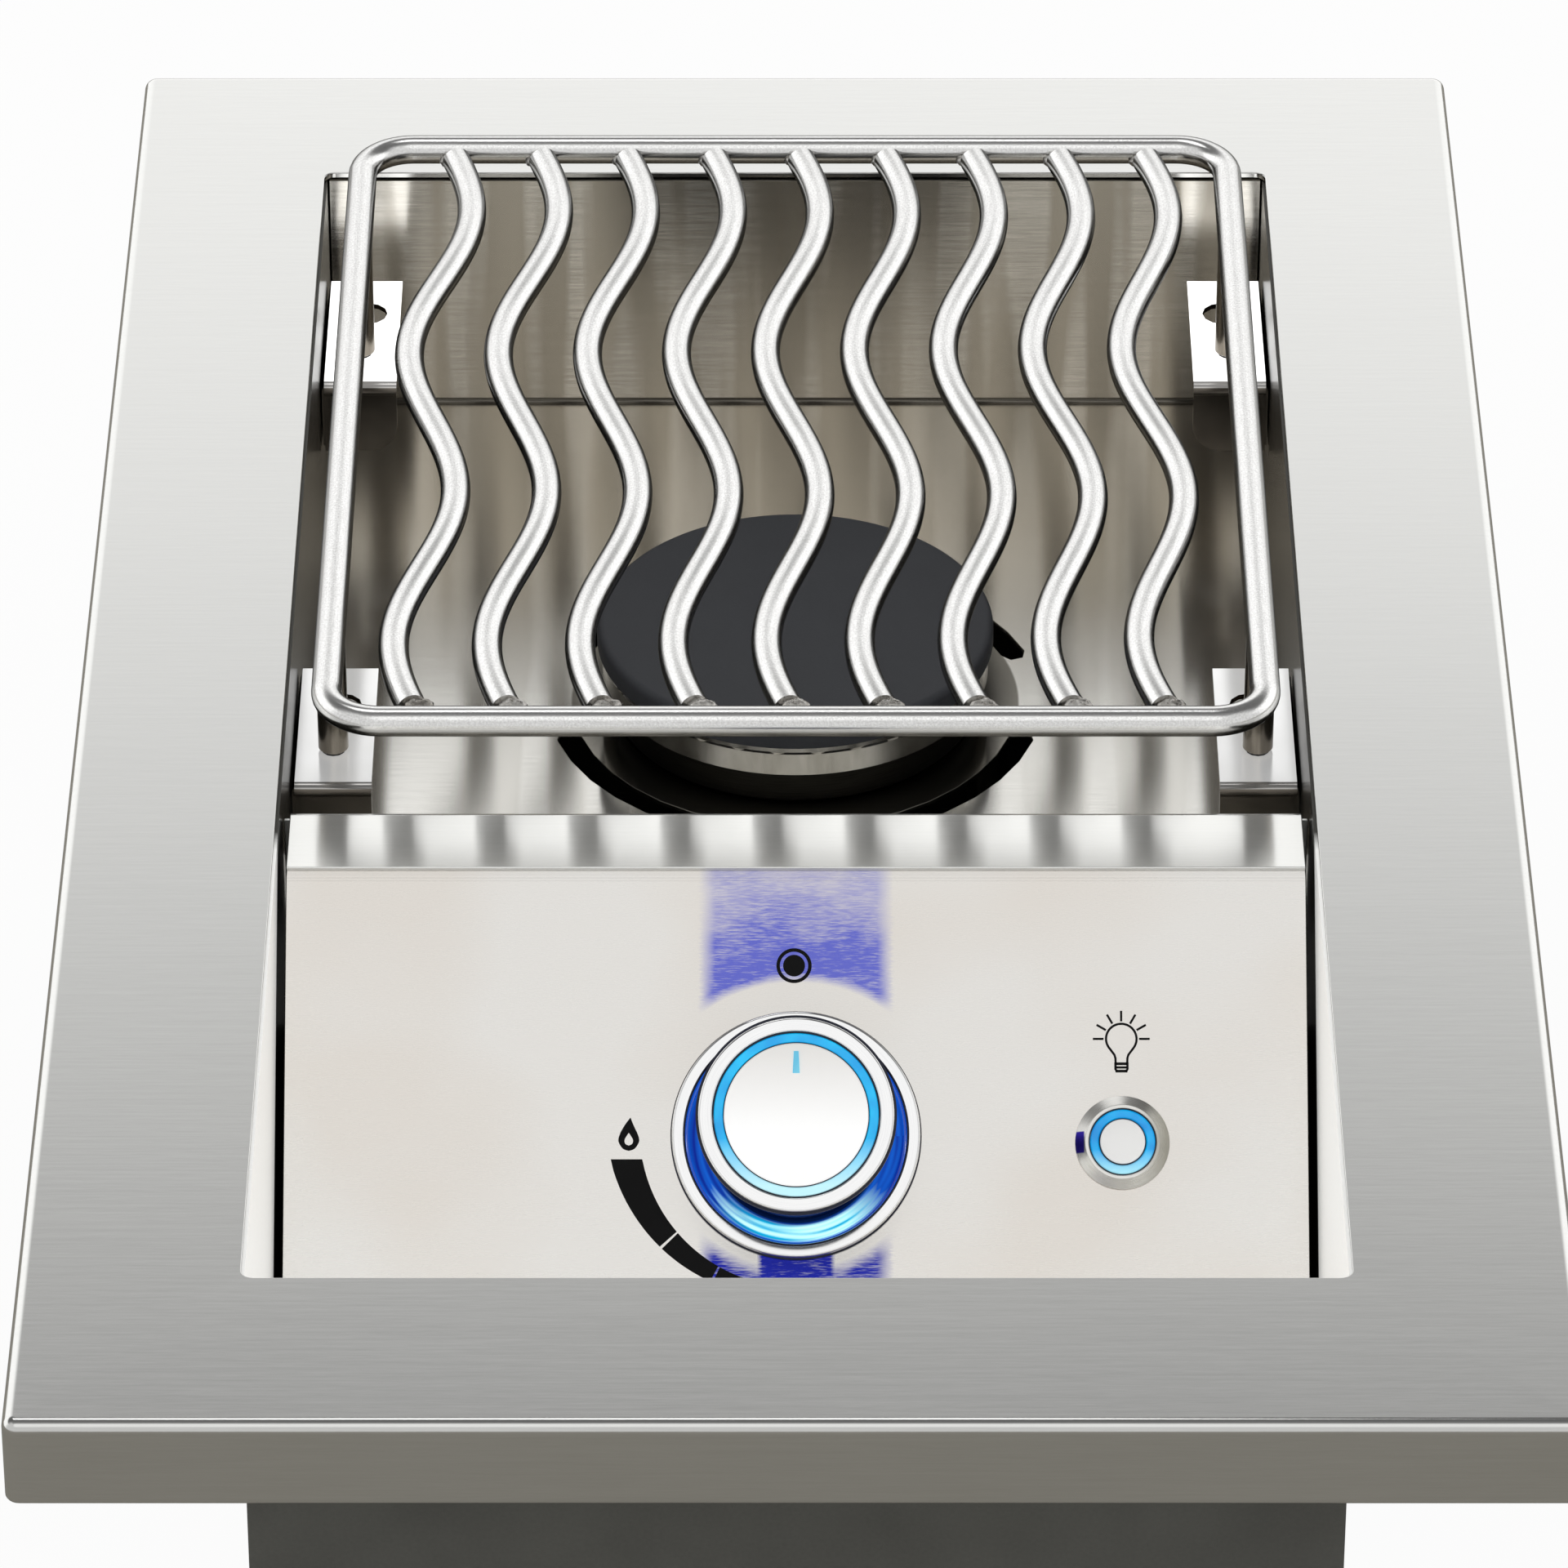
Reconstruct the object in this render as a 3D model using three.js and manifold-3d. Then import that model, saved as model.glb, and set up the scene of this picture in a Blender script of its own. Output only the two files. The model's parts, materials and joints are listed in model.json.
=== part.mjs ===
// Drop-in outdoor side burner. A folded trim frame carries a sheet case, a burner bowl with a
// wavy-rod cooking grid over it, and a sloped control panel with a gas knob and a lamp button.
// Millimetres, +Z up, the front faces -Y, and the origin is on the floor under the trim's centre.

import * as THREE from 'three';
import { mergeVertices } from 'three/addons/utils/BufferGeometryUtils.js';
import Module from 'manifold-3d';

const wasm = await Module();
wasm.setup();

// Trim frame
const trim_top = 235;
const trim_width = 373.5;
const trim_depth = 627;
const trim_sheet = 1.5;
const skirt_height = 24;
const skirt_return = 12;
const fold_radius = 3;
const trim_corner_radius = 3.5;
const front_border = 57;
const back_border = 55;
const side_border = 53.75;
const opening_corner_radius = 3;

// Fits
const seat_gap = 0.3;
const running_gap = 0.15;
const overrun = 2;
const weld_distance = 0.0001;

// Case
const case_sheet = 1.2;
const wall_lap = 0.7;
const case_bend = 0.5;
const wall_return = 12;
const floor_flange = 10;
const vent_length = 60;
const vent_width = 6;
const vent_pitch = 14;
const vent_base = 30;
const side_vents = 4;
const floor_vents = 3;

// Burner bowl
const bowl_depth = 76.6;
const bowl_sheet = 1.2;
const bowl_bend = 1.5;
const deck_flange = 12;
const pan_top_drop = 1;
const ledge_drop = 10;
const ledge_width = 26;
const ledge_side_gap = 2;
const ledge_to_front = 185.7;
const riser_flange = 14;
const slot_inner_radius = 61.2;
const slot_width = 6.5;
const front_slot_end_degrees = 17;
const rear_slot_end_degrees = 21;

// Grid brackets
const bracket_sheet = 1.5;
const bracket_bend = 1.5;
const bracket_depth = 56.5;
const bracket_reach = 21;
const bracket_lip = 21;
const bracket_lip_corner = 8;
const bracket_drop = 26;
const spare_hole_diameter = 11;
const spare_hole_setback = 39;
const spare_hole_inset = 1.2;
const foot_setback = 18.1;

// Cooking grid
const rod_diameter = 8;
const grid_height = 9;
const grid_side_gap = 10.8;
const grid_front_gap = 12.6;
const grid_rear_margin = 2.3;
const grid_corner_radius = 14;
const rod_count = 9;
const wave_height = 7.3;
const wave_lean = 0.9;
const wave_count = 2;
const foot_spacing_share = 0.685;
const foot_tip_diameter = 5.6;
const foot_tip_length = 3;
const foot_chamfer = 0.8;

// Burner
const burner_forward = 6.9;
const pot_radius = 49.5;
const pot_wall = 3;
const pot_height = 9.6;
const pot_floor = 2.5;
const throat_radius = 17;
const throat_wall = 3;
const throat_length = 24;
const ring_radius = 52.8;
const ring_wall = 5;
const ring_height = 9.6;
const port_count = 30;
const port_width = 2;
const port_depth = 3;
const cap_radius = 54.1;
const cap_height = 6.5;
const cap_edge_radius = 2.5;
const cap_spigot_height = 3;
const cap_spigot_wall = 4;
const lock_ring_radius = 27;
const lock_ring_height = 4;

// Mixer tube and jet
const mixer_wall = 1.2;
const mixer_drop = 54;
const mixer_bend_radius = 30;
const mixer_reach_share = 0.5;
const shutter_length = 16;
const shutter_sheet = 1.2;
const shutter_window_length = 9;
const shutter_windows = 4;
const jet_body_radius = 6;
const jet_hex_radius = 8.5;
const jet_hex_length = 7;
const jet_nose_radius = 3.6;
const jet_nose_length = 9;
const jet_length = 24;
const jet_bore_radius = 1;

// Igniter
const electrode_radius = 2.4;
const electrode_offset = 57.4;
const electrode_rise = 10;
const electrode_drop = 16;
const spark_wire_radius = 0.8;
const spark_wire_rise = 5;
const spark_wire_hook = 3;
const spark_lead_radius = 1.6;
const module_width = 26;
const module_depth = 62;
const module_height = 40;
const module_corner = 3;
const module_base = 60;

// Gas inlet
const pipe_radius = 6.35;
const pipe_bend_radius = 16;
const pipe_side = 56;
const pipe_height = 50;
const pipe_end_reach = 14;
const fitting_hex_radius = 11;
const fitting_hex_length = 12;
const fitting_nose_radius = 8;
const fitting_nose_length = 14;
const fitting_bore_radius = 4.5;
const grommet_radius = 11;
const grommet_lip = 2.5;

// Electrical supply
const supply_box_width = 24;
const supply_box_depth = 90;
const supply_box_height = 52;
const supply_box_base = 60;
const supply_box_setback = 150;
const socket_from_case_side = 47.3;
const socket_height = 50;
const socket_radius = 6;
const socket_flange_radius = 8.5;
const socket_flange = 2;
const socket_length = 16;
const socket_bore_radius = 3.5;
const socket_bore_depth = 10;

// Control panel
const panel_tilt_degrees = 45;
const panel_length = 116;
const panel_side_gap = 2;
const panel_sheet = 1.2;
const panel_bend = 1.2;
const panel_flange = 12;
const panel_under_ledge = 2.8;
const well_flange = 14;

// Gas knob
const knob_from_panel_foot = 49.6;
const bezel_radius = 32;
const bezel_lip = 2.8;
const bezel_lip_width = 3.7;
const bezel_sheet = 1.2;
const bezel_depth = 10;
const glow_ring_height = 3;
const glow_ring_clearance = 0.4;
const stem_hole_radius = 9;
const knob_radius = 24.6;
const knob_face_radius = 24.2;
const knob_height = 36;
const knob_sink = 1.5;
const knob_edge_radius = 2.2;
const knob_wall = 2.8;
const knob_pocket_radius = 21.5;
const knob_pocket_depth = 3.5;
const knob_floor = 3;
const knob_boss_radius = 7.5;
const knob_boss_base = 6;
const knob_ring_width = 3;
const face_cap_rise = 0.6;

// Gas valve
const stem_radius = 4;
const stem_flat = 2.6;
const stem_socket_depth = 14;
const stem_tail = 14;
const stem_travel = 3;
const bonnet_sheet = 3;
const bonnet_width = 46;
const bonnet_height = 26;
const bonnet_nose_radius = 8.2;
const bonnet_nose_height = 5;
const bonnet_screw_radius = 1.6;
const valve_radius = 15;
const valve_length = 38;
const plug_front_radius = 9;
const plug_rear_radius = 7.5;
const plug_length = 27;
const valve_port_radius = 3;
const inlet_stub_radius = 9.5;
const inlet_stub_reach = 26;
const outlet_stub_radius = 6;
const outlet_stub_length = 8;
const supply_tube_radius = 4;
const supply_bend_radius = 14;

// Lamp button
const button_from_panel_side = 47.4;
const button_from_panel_foot = 47.7;
const button_flange_radius = 11.9;
const button_flange = 2.2;
const button_barrel_radius = 8;
const button_barrel_length = 24;
const button_lamp_radius = 8.6;
const button_lamp_height = 1.3;
const button_cap_radius = 5.5;
const button_cap_rise = 1.1;
const button_cap_depth = 7;
const button_travel = 1.5;
const button_nut_radius = 11.5;
const button_nut_height = 3.5;

// Facets
const round_sides = 32;
const barrel_sides = 18;
const pipe_sides = 12;
const rod_sides = 8;
const rod_steps = 18;
const bend_steps = 2;
const pipe_bend_steps = 4;
const corner_steps = 3;
const slot_end_steps = 3;
const slot_steps = 16;
const fold_steps = 3;

// Places that several pieces share
const opening_width = trim_width - 2 * side_border;
const opening_depth = trim_depth - front_border - back_border;
const trim_under = trim_top - trim_sheet;
const opening_front = front_border - trim_depth / 2;
const opening_back = opening_front + opening_depth;
const opening_centre = (opening_front + opening_back) / 2;
const wall_inner = opening_width / 2 - wall_lap;
const wall_outer = wall_inner + case_sheet;
const fit_half_width = wall_inner - seat_gap;
const socket_side = socket_from_case_side - wall_inner;
const wall_top = trim_under - seat_gap;
const front_wall_face = opening_front - case_sheet - seat_gap;
const rear_return_face = opening_back + bowl_sheet + seat_gap;
const rear_wall_face = rear_return_face + case_sheet + seat_gap;
const deck_top = trim_top - bowl_depth;
const deck_under = deck_top - bowl_sheet;
const ledge_top = trim_top - ledge_drop;
const ledge_front = opening_front + ledge_to_front;
const riser_back = ledge_front + ledge_width;
const deck_front = riser_back + seat_gap + bowl_bend;
const rod_radius = rod_diameter / 2;
const grid_z = trim_top + grid_height;
const grid_back = opening_back - grid_rear_margin;
const grid_front = riser_back + grid_front_gap;
const grid_depth = grid_back - grid_front;
const grid_side = wall_inner - grid_side_gap;
const burner_y = (grid_front + grid_back) / 2 - burner_forward;
const foot_spacing = grid_depth * foot_spacing_share;
const bracket_top = trim_top - bracket_drop;
const foot_places = [burner_y - foot_spacing / 2, burner_y + foot_spacing / 2];
const throat_bore = throat_radius - throat_wall;
const throat_end = deck_top + seat_gap - throat_length;
const pot_top = deck_top + seat_gap + pot_height;
const ring_base = pot_top + seat_gap;
const ring_top = ring_base + ring_height;
const mixer_inner = throat_radius + seat_gap;
const mixer_radius = mixer_inner + mixer_wall;
const mixer_z = deck_top - mixer_drop;
const mixer_inlet_y = burner_y - (burner_y - ledge_front) * mixer_reach_share;
const panel_tilt = THREE.MathUtils.degToRad(panel_tilt_degrees);
const panel_apex = new THREE.Vector3(
  0,
  ledge_front - panel_under_ledge,
  ledge_top - bowl_sheet - seat_gap,
);
const panel_foot_y = panel_apex.y - panel_length * Math.cos(panel_tilt);
const panel_foot_z = panel_apex.z - panel_length * Math.sin(panel_tilt);
const panel_half_width = wall_inner - panel_side_gap;
const knob_drop = panel_length - knob_from_panel_foot;
const button_side = panel_half_width - button_from_panel_side;
const button_drop = panel_length - button_from_panel_foot;
const well_top = panel_foot_z - panel_sheet - seat_gap;
const bezel_top = seat_gap + bezel_lip;
const bezel_floor_top = bezel_top - bezel_lip - bezel_depth + bezel_sheet;
const bezel_floor_under = bezel_floor_top - bezel_sheet;
const bonnet_front = bezel_floor_under - seat_gap;
const valve_front = bonnet_front - bonnet_sheet - seat_gap;
const valve_rear = valve_front - valve_length;
const plug_front = valve_front - seat_gap;
const plug_rear = plug_front - plug_length;
const stem_end = plug_front - stem_tail + stem_travel;
const knob_pocket_floor = knob_height - knob_pocket_depth;
const inlet_stub_z = plug_front - plug_length / 2;

// Materials
const finishes = {
  brushed_steel: { color: 0xc9c9c5, roughness: 0.34, metalness: 1 },
  bright_steel: { color: 0xcfcfcc, roughness: 0.24, metalness: 1 },
  case_steel: { color: 0x55565a, roughness: 0.55, metalness: 0.8 },
  grid_steel: { color: 0xd6d6d3, roughness: 0.28, metalness: 1 },
  chrome: { color: 0xe8e9ea, roughness: 0.08, metalness: 1 },
  cap_enamel: { color: 0x303135, roughness: 0.6, metalness: 0 },
  burner_steel: { color: 0x8f8d86, roughness: 0.3, metalness: 1 },
  brass: { color: 0xc6a04a, roughness: 0.35, metalness: 1 },
  cast_aluminium: { color: 0xa9abad, roughness: 0.5, metalness: 1 },
  ceramic: { color: 0xefece2, roughness: 0.35, metalness: 0 },
  black_plastic: { color: 0x222326, roughness: 0.5, metalness: 0 },
  black_rubber: { color: 0x191a1b, roughness: 0.8, metalness: 0 },
  blue_lens: { color: 0x2fc0ff, roughness: 0.25, metalness: 0 },
  white_lens: { color: 0xf2f5f8, roughness: 0.25, metalness: 0 },
};

// Geometry helpers

function solid(geometry) {
  const bare = geometry.clone();
  bare.deleteAttribute('normal');
  bare.deleteAttribute('uv');
  const welded = mergeVertices(bare, weld_distance);
  const corners = welded.index.array;
  const kept = [];
  for (let i = 0; i < corners.length; i += 3) {
    const [a, b, c] = [corners[i], corners[i + 1], corners[i + 2]];
    if (a !== b && b !== c && c !== a) {
      kept.push(a, b, c);
    }
  }
  return new wasm.Manifold(new wasm.Mesh({
    numProp: 3,
    vertProperties: Float32Array.from(welded.attributes.position.array),
    triVerts: Uint32Array.from(kept),
  }));
}

function joined(first, ...others) {
  return others.reduce((whole, piece) => whole.add(piece), first);
}

function cut(body, ...tools) {
  return tools.reduce((rest, tool) => rest.subtract(tool), body);
}

function piece(parent, name, body, finish) {
  const { vertProperties, triVerts } = body.getMesh();
  const geometry = new THREE.BufferGeometry();
  geometry.setAttribute('position', new THREE.BufferAttribute(vertProperties, 3));
  geometry.setIndex(new THREE.BufferAttribute(triVerts, 1));
  geometry.computeVertexNormals();
  const mesh = new THREE.Mesh(geometry, new THREE.MeshStandardMaterial(finishes[finish]));
  mesh.name = name;
  parent.add(mesh);
  return mesh;
}

// A block between two corners.
function block(low, high) {
  const size = high.map((value, axis) => value - low[axis]);
  const centre = high.map((value, axis) => (value + low[axis]) / 2);
  return solid(new THREE.BoxGeometry(...size).translate(...centre));
}

// A round bar along Z.
function bar(radius, bottom, top, { x = 0, y = 0, sides = barrel_sides, turn = 0 } = {}) {
  const geometry = new THREE.CylinderGeometry(radius, radius, top - bottom, sides);
  geometry.rotateX(Math.PI / 2).rotateZ(turn);
  return solid(geometry.translate(x, y, (top + bottom) / 2));
}

// A round bar along X or Y between two places on that axis.
function bar_along(axis, radius, start, end, { x = 0, y = 0, z = 0, sides = barrel_sides } = {}) {
  const geometry = new THREE.CylinderGeometry(radius, radius, end - start, sides);
  const middle = (start + end) / 2;
  if (axis === 'x') {
    return solid(geometry.rotateZ(-Math.PI / 2).translate(middle, y, z));
  }
  return solid(geometry.translate(x, middle, z));
}

// A closed outline of [radius, height] points turned about Z, listed anticlockwise.
function turned(outline, sides = round_sides) {
  const points = [...outline, outline[0]].map(([radius, height]) => new THREE.Vector2(radius, height));
  return solid(new THREE.LatheGeometry(points, sides).rotateX(Math.PI / 2));
}

// Points of a rounded corner, from one direction in degrees to another.
function arc_points(x, y, radius, start_degrees, end_degrees, steps) {
  const points = [];
  for (let i = 0; i <= steps; i += 1) {
    const angle = THREE.MathUtils.degToRad(start_degrees + ((end_degrees - start_degrees) * i) / steps);
    points.push([x + radius * Math.cos(angle), y + radius * Math.sin(angle)]);
  }
  return points;
}

function shape_of(points) {
  return new THREE.Shape(points.map(([x, y]) => new THREE.Vector2(x, y)));
}

function rounded_rectangle(width, depth, radius, steps = corner_steps) {
  const x = width / 2 - radius;
  const y = depth / 2 - radius;
  return shape_of([
    ...arc_points(x, y, radius, 0, 90, steps),
    ...arc_points(-x, y, radius, 90, 180, steps),
    ...arc_points(-x, -y, radius, 180, 270, steps),
    ...arc_points(x, -y, radius, 270, 360, steps),
  ]);
}

// A flat outline raised along Z.
function raised(shape, bottom, top) {
  const geometry = new THREE.ExtrudeGeometry(shape, { depth: top - bottom, bevelEnabled: false });
  return geometry.translate(0, 0, bottom);
}

// An outline of [y, z] points drawn along X between two places.
function drawn_along_x(shape, left, right) {
  const turn = new THREE.Matrix4().makeBasis(
    new THREE.Vector3(0, 1, 0),
    new THREE.Vector3(0, 0, 1),
    new THREE.Vector3(1, 0, 0),
  );
  return solid(raised(shape, left, right).applyMatrix4(turn));
}

// An outline of [x, z] points drawn along Y between two places.
function drawn_along_y(shape, front, back) {
  const turn = new THREE.Matrix4().makeRotationX(Math.PI / 2);
  return solid(raised(shape, -back, -front).applyMatrix4(turn));
}

// A path through corners, with an arc at each inner corner.
function bent_path(corners, radius, steps) {
  const path = [];
  const last = corners.length - 1;
  corners.forEach((corner, i) => {
    const into = i > 0 ? corner.clone().sub(corners[i - 1]).normalize() : null;
    const out = i < last ? corners[i + 1].clone().sub(corner).normalize() : null;
    if (!into || !out) {
      path.push({ point: corner.clone(), along: (into ?? out).clone() });
      return;
    }
    const turn = into.angleTo(out);
    const inward = out.clone().addScaledVector(into, -out.dot(into)).normalize();
    const start = corner.clone().addScaledVector(into, -radius * Math.tan(turn / 2));
    const centre = start.clone().addScaledVector(inward, radius);
    for (let step = 0; step <= steps; step += 1) {
      const angle = (turn * step) / steps;
      const point = centre.clone();
      point.addScaledVector(inward, -radius * Math.cos(angle));
      point.addScaledVector(into, radius * Math.sin(angle));
      const along = into.clone().multiplyScalar(Math.cos(angle));
      along.addScaledVector(inward, Math.sin(angle));
      path.push({ point, along });
    }
  });
  return path;
}

// The outline of a folded sheet whose middle line runs through the corners.
function folded_outline(corners, sheet, inner_radius) {
  const vectors = corners.map(([x, y]) => new THREE.Vector3(x, y, 0));
  const path = bent_path(vectors, inner_radius + sheet / 2, bend_steps);
  const side = (offset) => path.map(({ point, along }) => (
    [point.x - along.y * offset, point.y + along.x * offset]
  ));
  return shape_of([...side(-sheet / 2), ...side(sheet / 2).reverse()]);
}

// A curve that visits the path's own points, one for each step.
class PathCurve extends THREE.Curve {
  constructor(path) {
    super();
    this.path = path;
  }

  at(share) {
    return this.path[Math.round(share * (this.path.length - 1))];
  }

  getPoint(share, target = new THREE.Vector3()) {
    return target.copy(this.at(share).point);
  }

  getPointAt(share, target = new THREE.Vector3()) {
    return this.getPoint(share, target);
  }

  getTangentAt(share, target = new THREE.Vector3()) {
    return target.copy(this.at(share).along);
  }
}

function tube(path, radius, sides) {
  const ring = arc_points(0, 0, radius, 0, 360, sides).slice(1);
  const geometry = new THREE.ExtrudeGeometry(shape_of(ring), {
    steps: path.length - 1,
    extrudePath: new PathCurve(path),
  });
  return solid(geometry);
}

function pipe(corners, radius, bend_radius, { sides = pipe_sides, steps = pipe_bend_steps } = {}) {
  const vectors = corners.map((corner) => new THREE.Vector3(...corner));
  return tube(bent_path(vectors, bend_radius, steps), radius, sides);
}

// A long hole with round ends, lying along X, about the origin.
function long_hole(length, width) {
  const x = (length - width) / 2;
  return shape_of([
    ...arc_points(x, 0, width / 2, -90, 90, slot_end_steps),
    ...arc_points(-x, 0, width / 2, 90, 270, slot_end_steps),
  ]);
}

function hexagon(radius) {
  return shape_of(arc_points(0, 0, radius, 0, 360, 6).slice(1));
}

// Trim frame: a tray folded down all round, with an opening and an inward return at its hem.
function tray(inset, radius, top, bottom) {
  const flat = inset + radius;
  const corner = Math.max(trim_corner_radius - flat, weld_distance + running_gap);
  const shape = rounded_rectangle(trim_width - 2 * flat, trim_depth - 2 * flat, corner);
  const geometry = new THREE.ExtrudeGeometry(shape, {
    depth: top - bottom,
    bevelThickness: radius,
    bevelSize: radius,
    bevelSegments: fold_steps,
  });
  const body = solid(geometry.translate(0, 0, bottom - radius));
  const half = trim_width + trim_depth;
  return cut(body, block([-half, -half, bottom - trim_top], [half, half, bottom]));
}

function trim_frame(parent) {
  const hem = trim_top - skirt_height;
  const outer = tray(0, fold_radius, trim_top, hem);
  const hollow = tray(trim_sheet, fold_radius - trim_sheet, trim_under, hem + trim_sheet);
  const mouth = rounded_rectangle(
    trim_width - 2 * skirt_return,
    trim_depth - 2 * skirt_return,
    trim_corner_radius,
  );
  const opening = rounded_rectangle(opening_width, opening_depth, opening_corner_radius);
  const body = cut(
    outer,
    hollow,
    solid(raised(mouth, hem - overrun, hem + trim_sheet + overrun)),
    solid(raised(opening, hem - overrun, trim_top + overrun).translate(0, opening_centre, 0)),
  );
  piece(parent, 'trim_frame', body, 'brushed_steel');
}

// Case: side walls with inward returns, plain front and rear walls, and a floor pan.
function side_wall(side) {
  const x = side * (wall_inner + case_sheet / 2);
  const end = side * (wall_outer - wall_return);
  const front = opening_front - case_sheet / 2;
  const back = rear_return_face + case_sheet / 2;
  const corners = [[end, front], [x, front], [x, back], [end, back]];
  const outline = folded_outline(corners, case_sheet, case_bend);
  const vents = [];
  for (let i = 0; i < side_vents; i += 1) {
    const y = opening_centre + (i - (side_vents - 1) / 2) * vent_length * 1.25;
    const hole = drawn_along_x(long_hole(vent_length, vent_width), x - overrun, x + overrun);
    vents.push(hole.translate([0, y, vent_base]));
    vents.push(hole.translate([0, y, vent_base + vent_pitch]));
  }
  return cut(solid(raised(outline, 0, wall_top)), ...vents);
}

function case_walls(parent) {
  piece(parent, 'case_left_wall', side_wall(-1), 'case_steel');
  piece(parent, 'case_right_wall', side_wall(1), 'case_steel');
  const front = block(
    [-wall_outer, front_wall_face - case_sheet, 0],
    [wall_outer, front_wall_face, wall_top],
  );
  piece(parent, 'case_front_wall', front, 'case_steel');
  const rear_hole = (radius, x, z) => (
    bar_along('y', radius, rear_wall_face - overrun, rear_wall_face + case_sheet + overrun, {
      x,
      z,
      sides: pipe_sides,
    })
  );
  const rear = cut(
    block([-wall_outer, rear_wall_face, 0], [wall_outer, rear_wall_face + case_sheet, wall_top]),
    rear_hole(grommet_radius - grommet_lip + seat_gap, pipe_side, pipe_height),
    rear_hole(socket_radius + seat_gap, socket_side, socket_height),
  );
  piece(parent, 'case_rear_wall', rear, 'case_steel');
}

function case_floor(parent) {
  const x = fit_half_width - case_sheet / 2;
  const z = case_sheet / 2;
  const corners = [[-x, floor_flange], [-x, z], [x, z], [x, floor_flange]];
  const outline = folded_outline(corners, case_sheet, case_bend);
  const front = opening_front + seat_gap;
  const back = rear_return_face - seat_gap;
  const holes = [];
  for (const side of [-1, 1]) {
    for (let i = 0; i < floor_vents; i += 1) {
      const y = opening_centre + (i - (floor_vents - 1) / 2) * vent_length;
      const hole = solid(raised(long_hole(vent_length, vent_width), -overrun, case_sheet + overrun));
      holes.push(hole.translate([side * vent_length, y, 0]));
    }
  }
  piece(parent, 'case_floor', cut(drawn_along_y(outline, front, back), ...holes), 'case_steel');
}

// Burner bowl: one sheet for the rear wall and deck, and a front riser with a bright ledge.
function ring_slot(centre_degrees, end_degrees) {
  const half = 90 - end_degrees;
  const start = centre_degrees - half;
  const end = centre_degrees + half;
  const outer_radius = slot_inner_radius + slot_width;
  const middle_radius = slot_inner_radius + slot_width / 2;
  const end_arc = (degrees, first, last) => {
    const angle = THREE.MathUtils.degToRad(degrees);
    const x = middle_radius * Math.cos(angle);
    const y = middle_radius * Math.sin(angle);
    return arc_points(x, y, slot_width / 2, degrees + first, degrees + last, slot_end_steps).slice(1, -1);
  };
  const shape = shape_of([
    ...arc_points(0, 0, outer_radius, start, end, slot_steps),
    ...end_arc(end, 0, 180),
    ...arc_points(0, 0, slot_inner_radius, end, start, slot_steps),
    ...end_arc(start, 180, 360),
  ]);
  const geometry = raised(shape, deck_under - overrun, deck_top + overrun);
  return solid(geometry.translate(0, burner_y, 0));
}

function bowl_pan(parent) {
  const y = opening_back + bowl_sheet / 2;
  const z = deck_top - bowl_sheet / 2;
  const top = trim_under - pan_top_drop;
  const outline = folded_outline([[y, top], [y, z], [deck_front, z]], bowl_sheet, bowl_bend);
  const side_strip = (side) => {
    const inner = side * (fit_half_width - bowl_sheet);
    const outer = side * fit_half_width;
    return block(
      [Math.min(inner, outer), riser_back + riser_flange + seat_gap, deck_top - deck_flange],
      [Math.max(inner, outer), opening_back - bowl_bend, deck_under + bowl_sheet / 2],
    );
  };
  const body = joined(
    drawn_along_x(outline, -fit_half_width, fit_half_width),
    side_strip(-1),
    side_strip(1),
  );
  const bottom = deck_under - overrun;
  const over = deck_top + overrun;
  const throat_hole = bar(throat_radius + seat_gap, bottom, over, { y: burner_y });
  const electrode_hole = bar(electrode_radius + seat_gap, bottom, over, {
    y: burner_y + electrode_offset,
    sides: pipe_sides,
  });
  const holed = cut(
    body,
    ring_slot(90, rear_slot_end_degrees),
    ring_slot(270, front_slot_end_degrees),
    throat_hole,
    electrode_hole,
  );
  piece(parent, 'bowl_pan', holed, 'bright_steel');
}

function bowl_front_wall(parent) {
  const z = ledge_top - bowl_sheet / 2;
  const y = riser_back - bowl_sheet / 2;
  const foot = deck_under - seat_gap - bowl_sheet / 2;
  const outline = folded_outline(
    [[ledge_front, z], [y, z], [y, foot], [riser_back + riser_flange, foot]],
    bowl_sheet,
    bowl_bend,
  );
  const body = drawn_along_x(outline, -fit_half_width, fit_half_width);
  const notch = (side) => {
    const inner = side * (wall_inner - ledge_side_gap);
    const outer = side * (fit_half_width + overrun);
    return block(
      [Math.min(inner, outer), ledge_front - overrun, ledge_top - bowl_sheet - bowl_bend],
      [Math.max(inner, outer), riser_back + overrun, ledge_top + overrun],
    );
  };
  piece(parent, 'bowl_front_wall', cut(body, notch(-1), notch(1)), 'bright_steel');
}

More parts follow.
